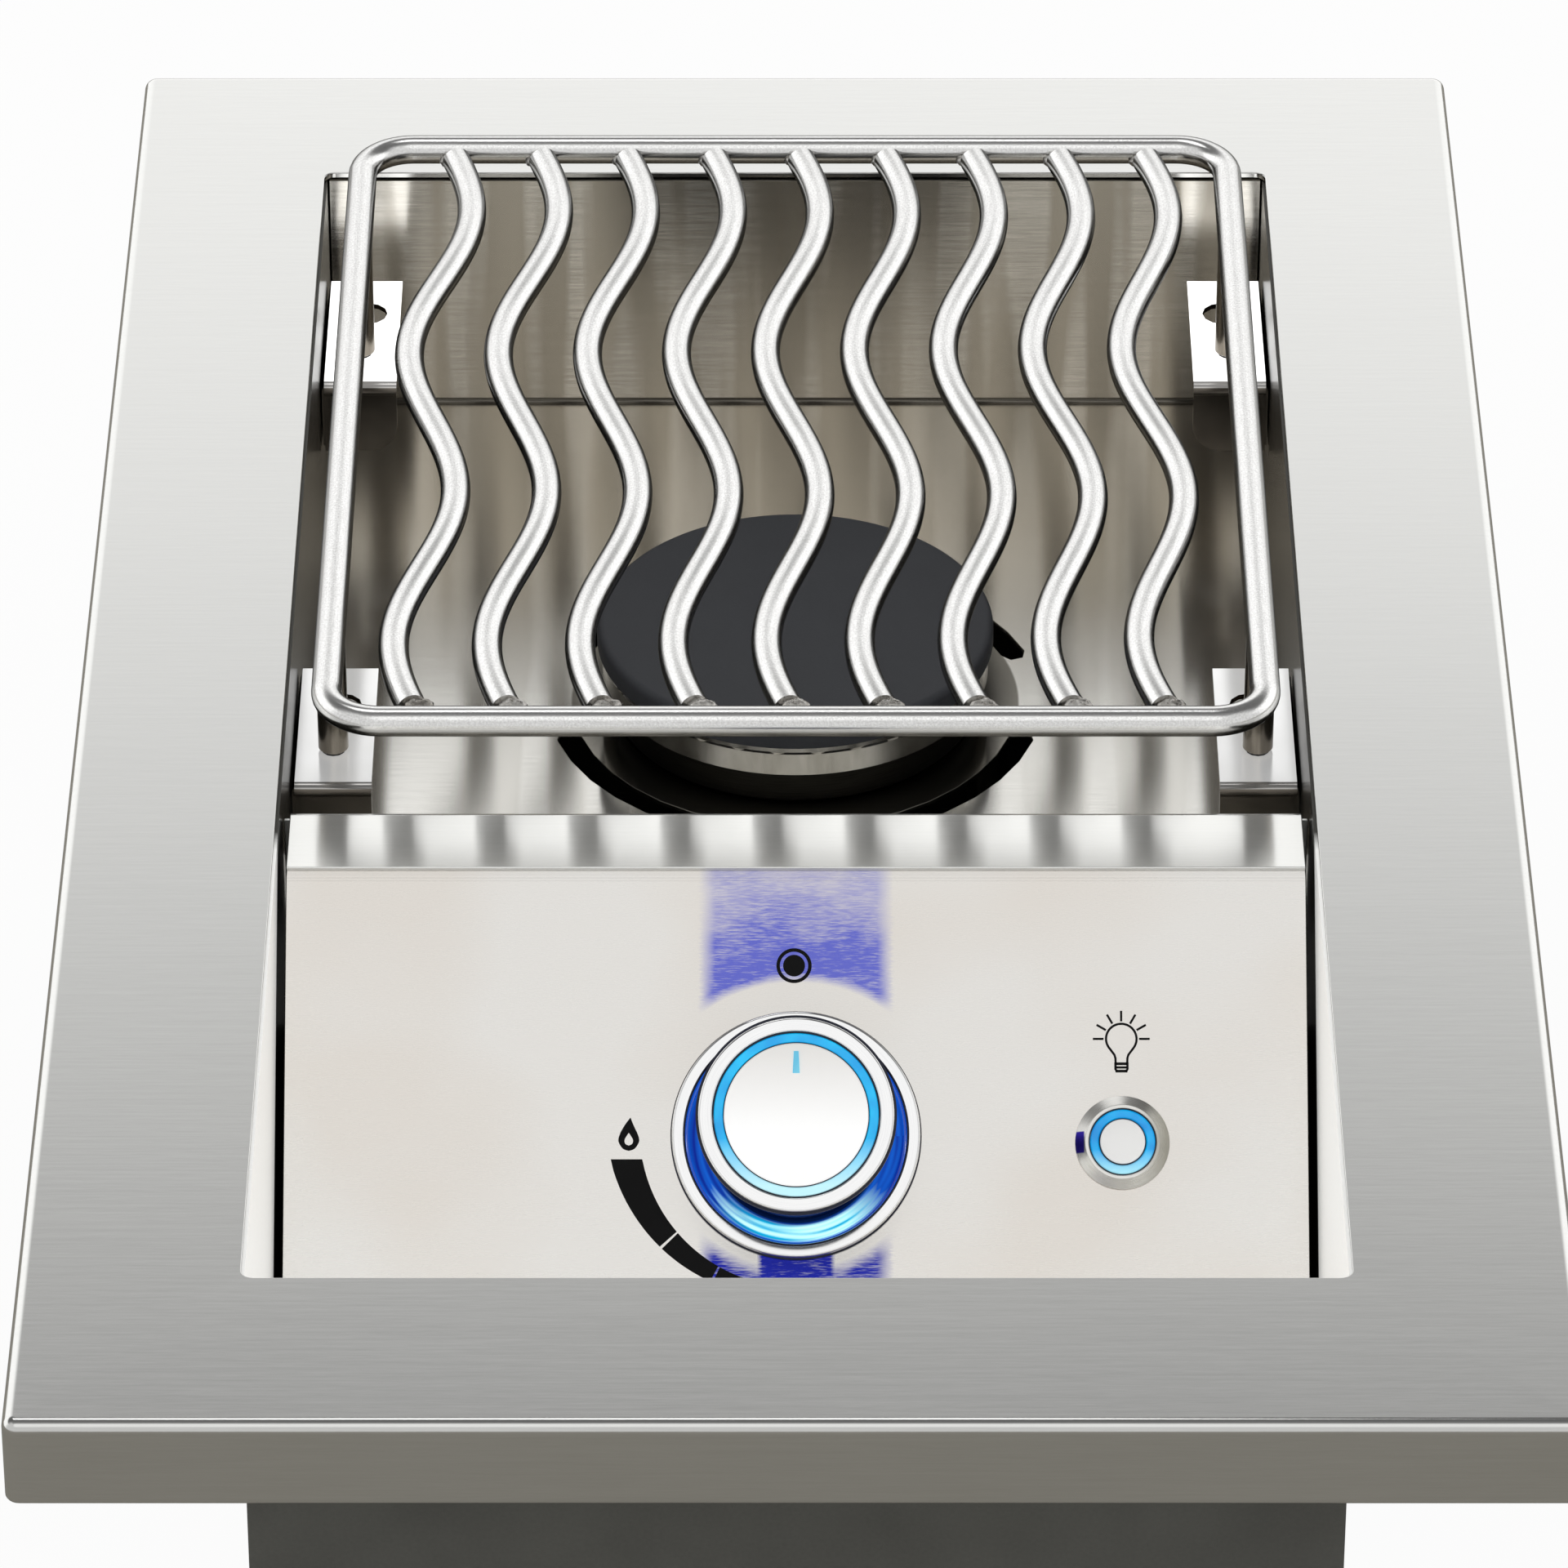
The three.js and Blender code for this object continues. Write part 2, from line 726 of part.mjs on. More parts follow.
// Grid brackets: a shelf with a spare hole, a front lip and a flange against the wall.
function bracket_body(side, foot_y) {
  const front = foot_y - foot_setback;
  const back = front + bracket_depth;
  const shelf_z = bracket_top - bracket_sheet / 2;
  const bottom = bracket_top - bracket_lip;
  const wall_x = side * (fit_half_width - bracket_sheet / 2);
  const inner_x = side * (fit_half_width - bracket_reach);
  const lip_y = front + bracket_sheet / 2;
  const span = (a, b) => [Math.min(a, b), Math.max(a, b)];
  const shelf_corners = [[lip_y, bottom], [lip_y, shelf_z], [back, shelf_z]];
  const shelf = drawn_along_x(
    folded_outline(shelf_corners, bracket_sheet, bracket_bend),
    ...span(inner_x, wall_x),
  );
  const flange_corners = [[inner_x, shelf_z], [wall_x, shelf_z], [wall_x, bottom]];
  const flange = drawn_along_y(
    folded_outline(flange_corners, bracket_sheet, bracket_bend),
    front + bracket_bend + bracket_sheet,
    back,
  );
  const round_x = inner_x + side * bracket_lip_corner;
  const round_z = bottom + bracket_lip_corner;
  const [corner_left, corner_right] = span(inner_x - side * overrun, round_x);
  const corner = block(
    [corner_left, front - overrun, bottom - overrun],
    [corner_right, lip_y + overrun, round_z],
  );
  const round = bar_along('y', bracket_lip_corner, front - 2 * overrun, lip_y + 2 * overrun, {
    x: round_x,
    z: round_z,
  });
  const hole = (radius, x, y) => bar(radius, shelf_z - overrun, shelf_z + overrun, {
    x: side * x,
    y,
    sides: pipe_sides,
  });
  return cut(
    joined(shelf, flange),
    cut(corner, round),
    hole(foot_tip_diameter / 2 + seat_gap, grid_side, foot_y),
    hole(spare_hole_diameter / 2, grid_side - spare_hole_inset, front + spare_hole_setback),
  );
}

function grid_brackets(parent) {
  const ends = ['front', 'rear'];
  foot_places.forEach((foot_y, i) => {
    piece(parent, `grid_bracket_${ends[i]}_left`, bracket_body(-1, foot_y), 'bright_steel');
    piece(parent, `grid_bracket_${ends[i]}_right`, bracket_body(1, foot_y), 'bright_steel');
  });
}

// Cooking grid: a bent rod frame with wavy rods coped between its front and back rails.
function frame_path(radius) {
  const y = (grid_front + grid_back) / 2;
  const right = [
    [0, grid_back, grid_z],
    [grid_side, grid_back, grid_z],
    [grid_side, y, grid_z],
    [grid_side, grid_front, grid_z],
    [0, grid_front, grid_z],
  ];
  const left = right.map(([x, place, z]) => [-x, place, z]);
  const bends = { sides: rod_sides, steps: pipe_bend_steps };
  return joined(
    pipe(right, radius, grid_corner_radius, bends),
    pipe(left, radius, grid_corner_radius, bends),
  );
}

function wavy_rod(x) {
  const path = [];
  const turns = 2 * Math.PI * wave_count;
  for (let i = 0; i <= rod_steps; i += 1) {
    const share = i / rod_steps;
    const sway = wave_height * Math.sin(turns * share) - wave_lean * Math.sin(Math.PI * share);
    const swing = wave_height * turns * Math.cos(turns * share);
    const lean = wave_lean * Math.PI * Math.cos(Math.PI * share);
    path.push({
      point: new THREE.Vector3(
        x + sway,
        grid_back - grid_depth * share,
        grid_z,
      ),
      along: new THREE.Vector3((swing - lean) / grid_depth, -1, 0).normalize(),
    });
  }
  return tube(path, rod_radius, rod_sides);
}

function grid_foot() {
  const shoulder = bracket_top + seat_gap;
  const tip = foot_tip_diameter / 2;
  return turned([
    [0, shoulder - foot_tip_length],
    [tip, shoulder - foot_tip_length],
    [tip, shoulder],
    [rod_radius - foot_chamfer, shoulder],
    [rod_radius, shoulder + foot_chamfer],
    [rod_radius, grid_z],
    [0, grid_z],
  ], pipe_sides);
}

function cooking_grid(parent) {
  const frame = frame_path(rod_radius);
  piece(parent, 'grid_frame', frame, 'grid_steel');
  const coping = frame_path(rod_radius + seat_gap);
  const pitch = (2 * grid_side) / (rod_count + 1);
  for (let i = 0; i < rod_count; i += 1) {
    const x = (i - (rod_count - 1) / 2) * pitch;
    piece(parent, `grid_rod_${i + 1}`, cut(wavy_rod(x), coping), 'grid_steel');
  }
  const ends = ['front', 'rear'];
  const sides = { left: -1, right: 1 };
  foot_places.forEach((foot_y, i) => {
    for (const [name, side] of Object.entries(sides)) {
      const foot = grid_foot().translate([side * grid_side, foot_y, 0]);
      piece(parent, `grid_foot_${ends[i]}_${name}`, cut(foot, coping), 'grid_steel');
    }
  });
}

// Burner: a pot whose throat passes through the deck, a ported ring and a lift-off cap.
function burner(parent) {
  const base = deck_top + seat_gap;
  const inner = pot_radius - pot_wall;
  const pot = turned([
    [throat_bore, throat_end],
    [throat_radius, throat_end],
    [throat_radius, base],
    [pot_radius, base],
    [pot_radius, pot_top],
    [inner, pot_top],
    [inner, base + pot_floor],
    [throat_bore, base + pot_floor],
  ]);
  piece(parent, 'burner_pot', pot, 'burner_steel').position.y = burner_y;

  const ring_inner = ring_radius - ring_wall;
  const ring = turned([
    [ring_inner, ring_base],
    [ring_radius, ring_base],
    [ring_radius, ring_top],
    [ring_inner, ring_top],
  ]);
  const ports = [];
  for (let i = 0; i < port_count / 2; i += 1) {
    const reach = ring_radius + overrun;
    const port = new THREE.BoxGeometry(2 * reach, port_width, port_depth + overrun);
    port.translate(0, 0, ring_top - port_depth + (port_depth + overrun) / 2);
    ports.push(solid(port.rotateZ((2 * Math.PI * i) / port_count)));
  }
  piece(parent, 'burner_port_ring', cut(ring, ...ports), 'burner_steel').position.y = burner_y;

  const lock_top = deck_under - seat_gap;
  const lock_inner = throat_radius + seat_gap;
  const lock = turned([
    [lock_inner, lock_top - lock_ring_height],
    [lock_ring_radius, lock_top - lock_ring_height],
    [lock_ring_radius, lock_top],
    [lock_inner, lock_top],
  ], barrel_sides);
  piece(parent, 'burner_lock_ring', lock, 'cast_aluminium').position.y = burner_y;
}

function burner_cap(parent) {
  const under = ring_top + seat_gap;
  const top = under + cap_height;
  const spigot = ring_radius - ring_wall - seat_gap;
  const edge = arc_points(
    cap_radius - cap_edge_radius, top - cap_edge_radius, cap_edge_radius, 0, 90, corner_steps,
  );
  const cap = turned([
    [0, top - cap_height / 2],
    [spigot - cap_spigot_wall, top - cap_height / 2],
    [spigot - cap_spigot_wall, under - cap_spigot_height],
    [spigot, under - cap_spigot_height],
    [spigot, under],
    [cap_radius, under],
    ...edge,
    [0, top],
  ]);
  piece(parent, 'burner_cap', cap, 'cap_enamel').position.y = burner_y;
}

// Mixer tube from the throat to its air shutter, and the jet that blows into it.
function mixer(parent) {
  const start = deck_under - lock_ring_height - 3 * seat_gap;
  const route = (over) => [
    [0, burner_y, start + over],
    [0, burner_y, mixer_z],
    [0, mixer_inlet_y - over, mixer_z],
  ];
  const options = { sides: barrel_sides };
  const body = cut(
    pipe(route(0), mixer_radius, mixer_bend_radius, options),
    pipe(route(overrun), mixer_inner, mixer_bend_radius, options),
  );
  piece(parent, 'mixer_tube', body, 'cast_aluminium');

  const shutter_inner = mixer_radius + seat_gap;
  const shutter_radius = shutter_inner + shutter_sheet;
  const mouth = shutter_length - shutter_sheet;
  const hole = jet_body_radius + seat_gap;
  const shutter = turned([
    [hole, 0],
    [shutter_radius, 0],
    [shutter_radius, shutter_length],
    [shutter_inner, shutter_length],
    [shutter_inner, shutter_sheet],
    [hole, shutter_sheet],
  ], barrel_sides);
  const windows = [];
  for (let i = 0; i < shutter_windows / 2; i += 1) {
    const window = new THREE.BoxGeometry(4 * shutter_radius, shutter_radius, shutter_window_length);
    window.translate(0, 0, shutter_sheet + shutter_window_length / 2);
    windows.push(solid(window.rotateZ((2 * Math.PI * i) / shutter_windows + Math.PI / shutter_windows)));
  }
  const mesh = piece(parent, 'air_shutter', cut(shutter, ...windows), 'bright_steel');
  mesh.rotation.x = -Math.PI / 2;
  mesh.position.set(0, mixer_inlet_y - mouth / 2 - shutter_window_length / 2, mixer_z);
}

// Brass jet: its nose points into the mixer, its hexagon is outside the shutter.
function gas_jet(parent) {
  const face = mixer_inlet_y - (shutter_length - shutter_sheet) / 2 - shutter_window_length / 2;
  const nose_base = shutter_sheet + jet_hex_length / 2;
  const tip = nose_base + jet_nose_length;
  const tail = tip - jet_length;
  const sides = pipe_sides;
  const body = joined(
    bar(jet_body_radius, tail, nose_base, { sides }),
    bar(jet_nose_radius, nose_base - jet_hex_length / 4, tip, { sides }),
    solid(raised(hexagon(jet_hex_radius), -jet_hex_length - seat_gap, -seat_gap)),
  );
  const bores = joined(
    bar(jet_bore_radius, -jet_hex_length, tip + overrun, { sides: rod_sides }),
    bar(supply_tube_radius + seat_gap, tail - overrun, -jet_hex_length / 2, { sides }),
  );
  const mesh = piece(parent, 'gas_jet', cut(body, bores), 'brass');
  mesh.rotation.x = -Math.PI / 2;
  mesh.position.set(0, face, mixer_z);
  return face - jet_hex_length / 2 - seat_gap;
}

// Places on the control panel's own frame: X to the right, Y up the slope, Z out of its face.
function panel_point(x, y, z) {
  const point = new THREE.Vector3(x, y, z).applyAxisAngle(new THREE.Vector3(1, 0, 0), panel_tilt);
  return point.add(panel_apex);
}

function supply_tube(parent, jet_end) {
  const outlet = panel_point(0, -knob_drop, valve_rear - outlet_stub_length - seat_gap);
  const bend_y = outlet.y + (outlet.z - mixer_z) / Math.tan(panel_tilt);
  const corners = [
    outlet.toArray(),
    [0, bend_y, mixer_z],
    [0, jet_end, mixer_z],
  ];
  piece(parent, 'supply_tube', pipe(corners, supply_tube_radius, supply_bend_radius), 'cast_aluminium');
}

// Gas inlet: a bent pipe from the valve to a fitting behind the rear wall.
function gas_inlet(parent) {
  const start = panel_point(inlet_stub_reach + seat_gap, -knob_drop, inlet_stub_z);
  const end = rear_wall_face + case_sheet + pipe_end_reach;
  const corners = [
    start.toArray(),
    [pipe_side, start.y, start.z],
    [pipe_side, start.y, pipe_height],
    [pipe_side, end, pipe_height],
  ];
  piece(parent, 'gas_inlet_pipe', pipe(corners, pipe_radius, pipe_bend_radius), 'bright_steel');

  const place = { x: pipe_side, z: pipe_height, sides: pipe_sides };
  const hex = hexagon(fitting_hex_radius);
  const nose_end = fitting_hex_length + fitting_nose_length;
  const fitting = cut(
    joined(
      solid(raised(hex, 0, fitting_hex_length)),
      bar(fitting_nose_radius, fitting_hex_length / 2, nose_end, { sides: pipe_sides }),
    ),
    bar(fitting_bore_radius, -overrun, nose_end + overrun, { sides: pipe_sides }),
  );
  const mesh = piece(parent, 'gas_inlet_fitting', fitting, 'brass');
  mesh.rotation.x = -Math.PI / 2;
  mesh.position.set(pipe_side, end + seat_gap, pipe_height);

  const neck = grommet_radius - grommet_lip;
  const inside = rear_wall_face - seat_gap - grommet_lip;
  const outside = rear_wall_face + case_sheet + seat_gap;
  const grommet = cut(
    joined(
      bar_along('y', grommet_radius, inside, rear_wall_face - seat_gap, place),
      bar_along('y', neck, inside + grommet_lip / 2, outside + grommet_lip / 2, place),
      bar_along('y', grommet_radius, outside, outside + grommet_lip, place),
    ),
    bar_along('y', pipe_radius + seat_gap, inside - overrun, outside + grommet_lip + overrun, place),
  );
  piece(parent, 'gas_inlet_grommet', grommet, 'black_rubber');
}

// Igniter: a ceramic electrode behind the pot, its wire, the spark module and the lead.
function igniter(parent) {
  const y = burner_y + electrode_offset;
  const top = deck_top + electrode_rise;
  const bottom = deck_under - electrode_drop;
  const sides = pipe_sides;
  const collar = electrode_radius + electrode_radius / 2;
  const ceramic = cut(
    joined(
      bar(electrode_radius, bottom, top, { y, sides }),
      bar(collar, deck_under - seat_gap - electrode_radius, deck_under - seat_gap, { y, sides }),
    ),
    bar(spark_wire_radius + running_gap, bottom - overrun, top + overrun, { y, sides: rod_sides }),
  );
  piece(parent, 'electrode_ceramic', ceramic, 'ceramic');

  const tip = top + spark_wire_rise;
  const wire = pipe([
    [0, y, bottom - spark_wire_rise],
    [0, y, tip],
    [0, y - spark_wire_hook, tip],
  ], spark_wire_radius, spark_wire_hook / 2, { sides: rod_sides, steps: bend_steps });
  piece(parent, 'electrode_wire', wire, 'bright_steel');

  const wall = -fit_half_width;
  const module_back = burner_y + module_depth;
  const module_top = module_base + module_height;
  const box = rounded_rectangle(module_depth, module_height, module_corner);
  const module_body = drawn_along_x(box, wall, wall + module_width)
    .translate([0, burner_y + module_depth / 2, module_base + module_height / 2]);
  piece(parent, 'spark_module', module_body, 'black_plastic');

  const lead_y = (burner_y + module_back) / 2;
  const lead_top = bottom - spark_wire_rise - seat_gap;
  const lead_x = wall + module_width / 2;
  const lead = pipe([
    [0, y, lead_top],
    [0, y, lead_top - module_corner * 5],
    [lead_x, lead_y, lead_top - module_corner * 5],
    [lead_x, lead_y, module_top + seat_gap],
  ], spark_lead_radius, module_corner * 3, { sides: rod_sides });
  piece(parent, 'spark_lead', lead, 'black_rubber');
}

// Electrical supply: the lamp driver on the right wall and a low-voltage socket at the rear.
function electrical_supply(parent) {
  const wall = fit_half_width;
  const box = rounded_rectangle(supply_box_depth, supply_box_height, module_corner);
  const body = drawn_along_x(box, wall - supply_box_width, wall)
    .translate([0, opening_front + supply_box_setback, supply_box_base + supply_box_height / 2]);
  piece(parent, 'lamp_driver', body, 'black_plastic');

  const outside = rear_wall_face + case_sheet + seat_gap;
  const place = { x: socket_side, z: socket_height, sides: pipe_sides };
  const socket = cut(
    joined(
      bar_along('y', socket_radius, outside + socket_flange - socket_length, outside + socket_flange, place),
      bar_along('y', socket_flange_radius, outside, outside + socket_flange, place),
    ),
    bar_along('y', socket_bore_radius, outside + socket_flange - socket_bore_depth,
      outside + socket_flange + overrun, place),
  );
  piece(parent, 'power_socket', socket, 'black_plastic');
}

// Control panel and the floor of the well in front of it.
function control_panel(parent) {
  const back = [Math.cos(panel_tilt) * panel_flange, -Math.sin(panel_tilt) * panel_flange];
  const z = -panel_sheet / 2;
  const outline = folded_outline(
    [[back[0], z + back[1]], [0, z], [-panel_length, z], [back[0] - panel_length, z + back[1]]],
    panel_sheet,
    panel_bend,
  );
  const hole = (radius, x, y) => bar(radius, z - overrun, z + overrun, { x, y, sides: round_sides });
  const body = cut(
    drawn_along_x(outline, -panel_half_width, panel_half_width),
    hole(bezel_radius - bezel_lip_width + seat_gap, 0, -knob_drop),
    hole(button_barrel_radius + seat_gap, button_side, -button_drop),
  );
  piece(parent, 'control_panel', body, 'brushed_steel');
}

function well_floor(parent) {
  const front = opening_front + seat_gap + bowl_sheet / 2;
  const back = panel_foot_y + panel_flange + seat_gap;
  const z = well_top - bowl_sheet / 2;
  const outline = folded_outline(
    [[front, z - well_flange], [front, z], [back, z], [back, z - well_flange]],
    bowl_sheet,
    bowl_bend,
  );
  piece(parent, 'well_floor', drawn_along_x(outline, -fit_half_width, fit_half_width), 'bright_steel');
}

// Bezel: a chrome lip and a cup sunk through the panel, with a lit ring on its floor.
function knob_bezel(parent) {
  const lip_inner = bezel_radius - bezel_lip_width;
  const cup = lip_inner - bezel_sheet;
  const bezel = turned([
    [stem_hole_radius, bezel_floor_under],
    [lip_inner, bezel_floor_under],
    [lip_inner, seat_gap],
    [bezel_radius, seat_gap],
    [bezel_radius, bezel_top - bezel_lip / 2],
    [bezel_radius - bezel_lip / 3, bezel_top],
    [cup, bezel_top],
    [cup, bezel_floor_top],
    [stem_hole_radius, bezel_floor_top],
  ]);
  piece(parent, 'knob_bezel', bezel, 'chrome');

  const glow_base = bezel_floor_top + seat_gap;
  const glow_inner = stem_hole_radius + bezel_sheet;
  const glow_outer = cup - glow_ring_clearance;
  const glow = turned([
    [glow_inner, glow_base],
    [glow_outer, glow_base],
    [glow_outer, glow_base + glow_ring_height],
    [glow_inner, glow_base + glow_ring_height],
  ]);
  piece(parent, 'bezel_light_ring', glow, 'blue_lens');
}

// A round shaft with one flat, and the matching socket.
function flatted(radius, flat, bottom, top) {
  const shaft = bar(radius, bottom, top);
  const far = 2 * radius;
  return cut(shaft, block([-far, flat, bottom - overrun], [far, far, top + overrun]));
}

function knob(parent) {
  const edge = arc_points(
    knob_face_radius - knob_edge_radius, knob_height - knob_edge_radius, knob_edge_radius,
    0, 90, corner_steps,
  );
  const inside = knob_radius - knob_wall;
  const ceiling = knob_pocket_floor - knob_floor;
  const body = turned([
    [0, knob_boss_base],
    [knob_boss_radius, knob_boss_base],
    [knob_boss_radius, ceiling],
    [inside, ceiling],
    [inside, -knob_sink],
    [knob_radius, -knob_sink],
    ...edge,
    [knob_pocket_radius, knob_height],
    [knob_pocket_radius, knob_pocket_floor],
    [0, knob_pocket_floor],
  ]);
  const socket_top = knob_boss_base + stem_socket_depth;
  const socket_radius = stem_radius + seat_gap;
  const socket = flatted(socket_radius, stem_flat + seat_gap, knob_boss_base - overrun, socket_top);
  piece(parent, 'knob_body', cut(body, socket), 'chrome');

  const ring_outer = knob_pocket_radius - seat_gap;
  const ring_inner = ring_outer - knob_ring_width;
  const ring_base_z = knob_pocket_floor + seat_gap;
  const ring = turned([
    [ring_inner, ring_base_z],
    [ring_outer, ring_base_z],
    [ring_outer, knob_height],
    [ring_inner, knob_height],
  ]);
  piece(parent, 'knob_light_ring', ring, 'blue_lens');

  const face_radius = ring_inner - seat_gap;
  const face = turned([
    [0, ring_base_z],
    [face_radius, ring_base_z],
    [face_radius, knob_height],
    [face_radius - face_cap_rise, knob_height + face_cap_rise / 2],
    [0, knob_height + face_cap_rise],
  ]);
  piece(parent, 'knob_face_cap', face, 'white_lens');

  const stem_top = socket_top - seat_gap;
  piece(parent, 'valve_stem', flatted(stem_radius, stem_flat, stem_end, stem_top), 'brass');
}

// Gas valve: a body with a tapered bore, the turning plug and a bonnet under the bezel cup.
function gas_valve(parent) {
  const sides = pipe_sides;
  const bore_rear = plug_rear - seat_gap;
  const bore = turned([
    [0, bore_rear],
    [plug_rear_radius + running_gap, bore_rear],
    [plug_front_radius + running_gap, plug_front],
    [plug_front_radius + running_gap, valve_front + overrun],
    [0, valve_front + overrun],
  ], barrel_sides);
  const body = cut(
    joined(
      bar(valve_radius, valve_rear, valve_front),
      bar(outlet_stub_radius, valve_rear - outlet_stub_length, valve_rear + overrun, { sides }),
      bar_along('x', inlet_stub_radius, 0, inlet_stub_reach, { z: inlet_stub_z }),
    ),
    bore,
    bar_along('x', valve_port_radius, 0, inlet_stub_reach + overrun, { z: inlet_stub_z, sides }),
    bar(valve_port_radius, valve_rear - outlet_stub_length - overrun, plug_rear, { sides }),
  );
  piece(parent, 'gas_valve_body', body, 'brass');

  const bonnet_rear = bonnet_front - bonnet_sheet;
  const nose_top = bonnet_front + bonnet_nose_height;
  const outline = rounded_rectangle(bonnet_width, bonnet_height, bonnet_height / 3);
  const screw_x = bonnet_width / 2 - bonnet_height / 4;
  const hole = (radius, x, hole_sides) => bar(radius, bonnet_rear - overrun, nose_top + overrun, {
    x,
    sides: hole_sides,
  });
  const bonnet = cut(
    joined(
      solid(raised(outline, bonnet_rear, bonnet_front)),
      bar(bonnet_nose_radius, bonnet_front - bonnet_sheet / 2, nose_top),
    ),
    hole(stem_radius + seat_gap, 0, barrel_sides),
    hole(bonnet_screw_radius, screw_x, rod_sides),
    hole(bonnet_screw_radius, -screw_x, rod_sides),
  );
  piece(parent, 'valve_bonnet', bonnet, 'cast_aluminium');
}

function valve_plug(parent) {
  const plug = turned([
    [0, plug_rear],
    [plug_rear_radius, plug_rear],
    [plug_front_radius, plug_front],
    [0, plug_front],
  ], barrel_sides);
  const socket_floor = stem_end - stem_travel - seat_gap;
  const socket = flatted(stem_radius + seat_gap, stem_flat + seat_gap, socket_floor, plug_front + overrun);
  piece(parent, 'valve_plug', cut(plug, socket), 'brass');
}

// Lamp button: a flanged barrel with a lit ring round a sprung cap, and its nut.
function lamp_button(parent) {
  const top = seat_gap + button_flange;
  const lamp_floor = top - button_lamp_height;
  const lamp_pocket = button_lamp_radius + seat_gap;
  const bore = button_cap_radius + seat_gap;
  const bore_floor = top - button_cap_depth - button_travel - seat_gap;
  const bottom = seat_gap - button_barrel_length;
  const housing = turned([
    [0, bottom],
    [button_barrel_radius, bottom],
    [button_barrel_radius, seat_gap],
    [button_flange_radius, seat_gap],
    [button_flange_radius, top - button_flange / 2],
    [button_flange_radius - button_flange / 3, top],
    [lamp_pocket, top],
    [lamp_pocket, lamp_floor],
    [bore, lamp_floor],
    [bore, bore_floor],
    [0, bore_floor],
  ], barrel_sides);
  piece(parent, 'button_housing', housing, 'bright_steel');

  const lamp_base = lamp_floor + seat_gap;
  const lamp = turned([
    [bore, lamp_base],
    [button_lamp_radius, lamp_base],
    [button_lamp_radius, top],
    [bore, top],
  ], barrel_sides);
  piece(parent, 'button_light_ring', lamp, 'blue_lens');

  const nut_top = -panel_sheet - seat_gap;
  const nut = cut(
    solid(raised(hexagon(button_nut_radius), nut_top - button_nut_height, nut_top)),
    bar(button_barrel_radius + seat_gap, nut_top - button_nut_height - overrun, nut_top + overrun),
  );
  piece(parent, 'button_nut', nut, 'bright_steel');
}

function button_cap(parent) {
  const top = seat_gap + button_flange;
  const bottom = top - button_cap_depth;
  const cap = turned([
    [0, bottom],
    [button_cap_radius, bottom],
    [button_cap_radius, top + button_cap_rise / 2],
    [button_cap_radius - button_cap_rise / 2, top + button_cap_rise],
    [0, top + button_cap_rise],
  ], barrel_sides);
  piece(parent, 'button_cap', cap, 'white_lens');
}

// Assembly
const side_burner = new THREE.Group();
trim_frame(side_burner);
case_walls(side_burner);
case_floor(side_burner);
bowl_pan(side_burner);
bowl_front_wall(side_burner);
grid_brackets(side_burner);
cooking_grid(side_burner);
burner(side_burner);
burner_cap(side_burner);
mixer(side_burner);
supply_tube(side_burner, gas_jet(side_burner));
gas_inlet(side_burner);
igniter(side_burner);
electrical_supply(side_burner);
well_floor(side_burner);

const panel_group = new THREE.Group();
panel_group.position.copy(panel_apex);
panel_group.rotation.x = panel_tilt;
side_burner.add(panel_group);
control_panel(panel_group);

const knob_group = new THREE.Group();
knob_group.position.y = -knob_drop;
panel_group.add(knob_group);
knob_bezel(knob_group);
knob(knob_group);
gas_valve(knob_group);
valve_plug(knob_group);

const button_group = new THREE.Group();
button_group.position.set(button_side, -button_drop, 0);
panel_group.add(button_group);
lamp_button(button_group);
button_cap(button_group);

export default side_burner;
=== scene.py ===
"""Drop-in outdoor side burner: its visible surfaces, finishes, light and camera.

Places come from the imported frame. Lengths are written in millimetres and turned into metres.
"""
import json
import math

import bmesh
import bpy
from mathutils import Matrix, Vector

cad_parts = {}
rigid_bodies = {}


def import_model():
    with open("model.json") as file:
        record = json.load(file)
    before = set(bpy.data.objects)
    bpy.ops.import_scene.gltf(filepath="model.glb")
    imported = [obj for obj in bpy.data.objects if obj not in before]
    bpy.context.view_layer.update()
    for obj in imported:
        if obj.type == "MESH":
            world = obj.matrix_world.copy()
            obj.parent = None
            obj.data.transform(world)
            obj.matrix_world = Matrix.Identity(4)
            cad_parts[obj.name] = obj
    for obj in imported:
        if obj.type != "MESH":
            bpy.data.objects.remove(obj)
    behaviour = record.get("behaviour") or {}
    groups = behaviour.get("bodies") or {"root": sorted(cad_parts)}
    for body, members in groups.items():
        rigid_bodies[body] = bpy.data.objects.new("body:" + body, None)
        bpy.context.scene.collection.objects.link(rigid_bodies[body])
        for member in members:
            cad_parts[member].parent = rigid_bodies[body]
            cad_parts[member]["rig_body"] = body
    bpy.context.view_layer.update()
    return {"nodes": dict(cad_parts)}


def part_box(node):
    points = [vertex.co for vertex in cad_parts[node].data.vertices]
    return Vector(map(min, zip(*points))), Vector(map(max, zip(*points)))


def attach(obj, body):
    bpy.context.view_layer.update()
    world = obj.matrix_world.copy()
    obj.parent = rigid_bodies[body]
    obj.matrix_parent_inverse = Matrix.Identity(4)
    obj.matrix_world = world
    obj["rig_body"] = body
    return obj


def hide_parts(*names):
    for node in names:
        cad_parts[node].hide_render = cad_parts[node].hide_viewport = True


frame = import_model()

MM = 0.001
FULL_TURN = 2 * math.pi

# Trim frame
EDGE_BORDER = 53.75 * MM
FRONT_BORDER = 57 * MM
BACK_BORDER = 55 * MM
FOLD_RADIUS = 3 * MM
HEM_RADIUS = 1.2 * MM
SHEET = 1.5 * MM
TRIM_CORNER = 3.5 * MM
OPENING_CORNER = 3 * MM
SKIRT_RETURN = 12 * MM
EASED_EDGE = 0.3 * MM

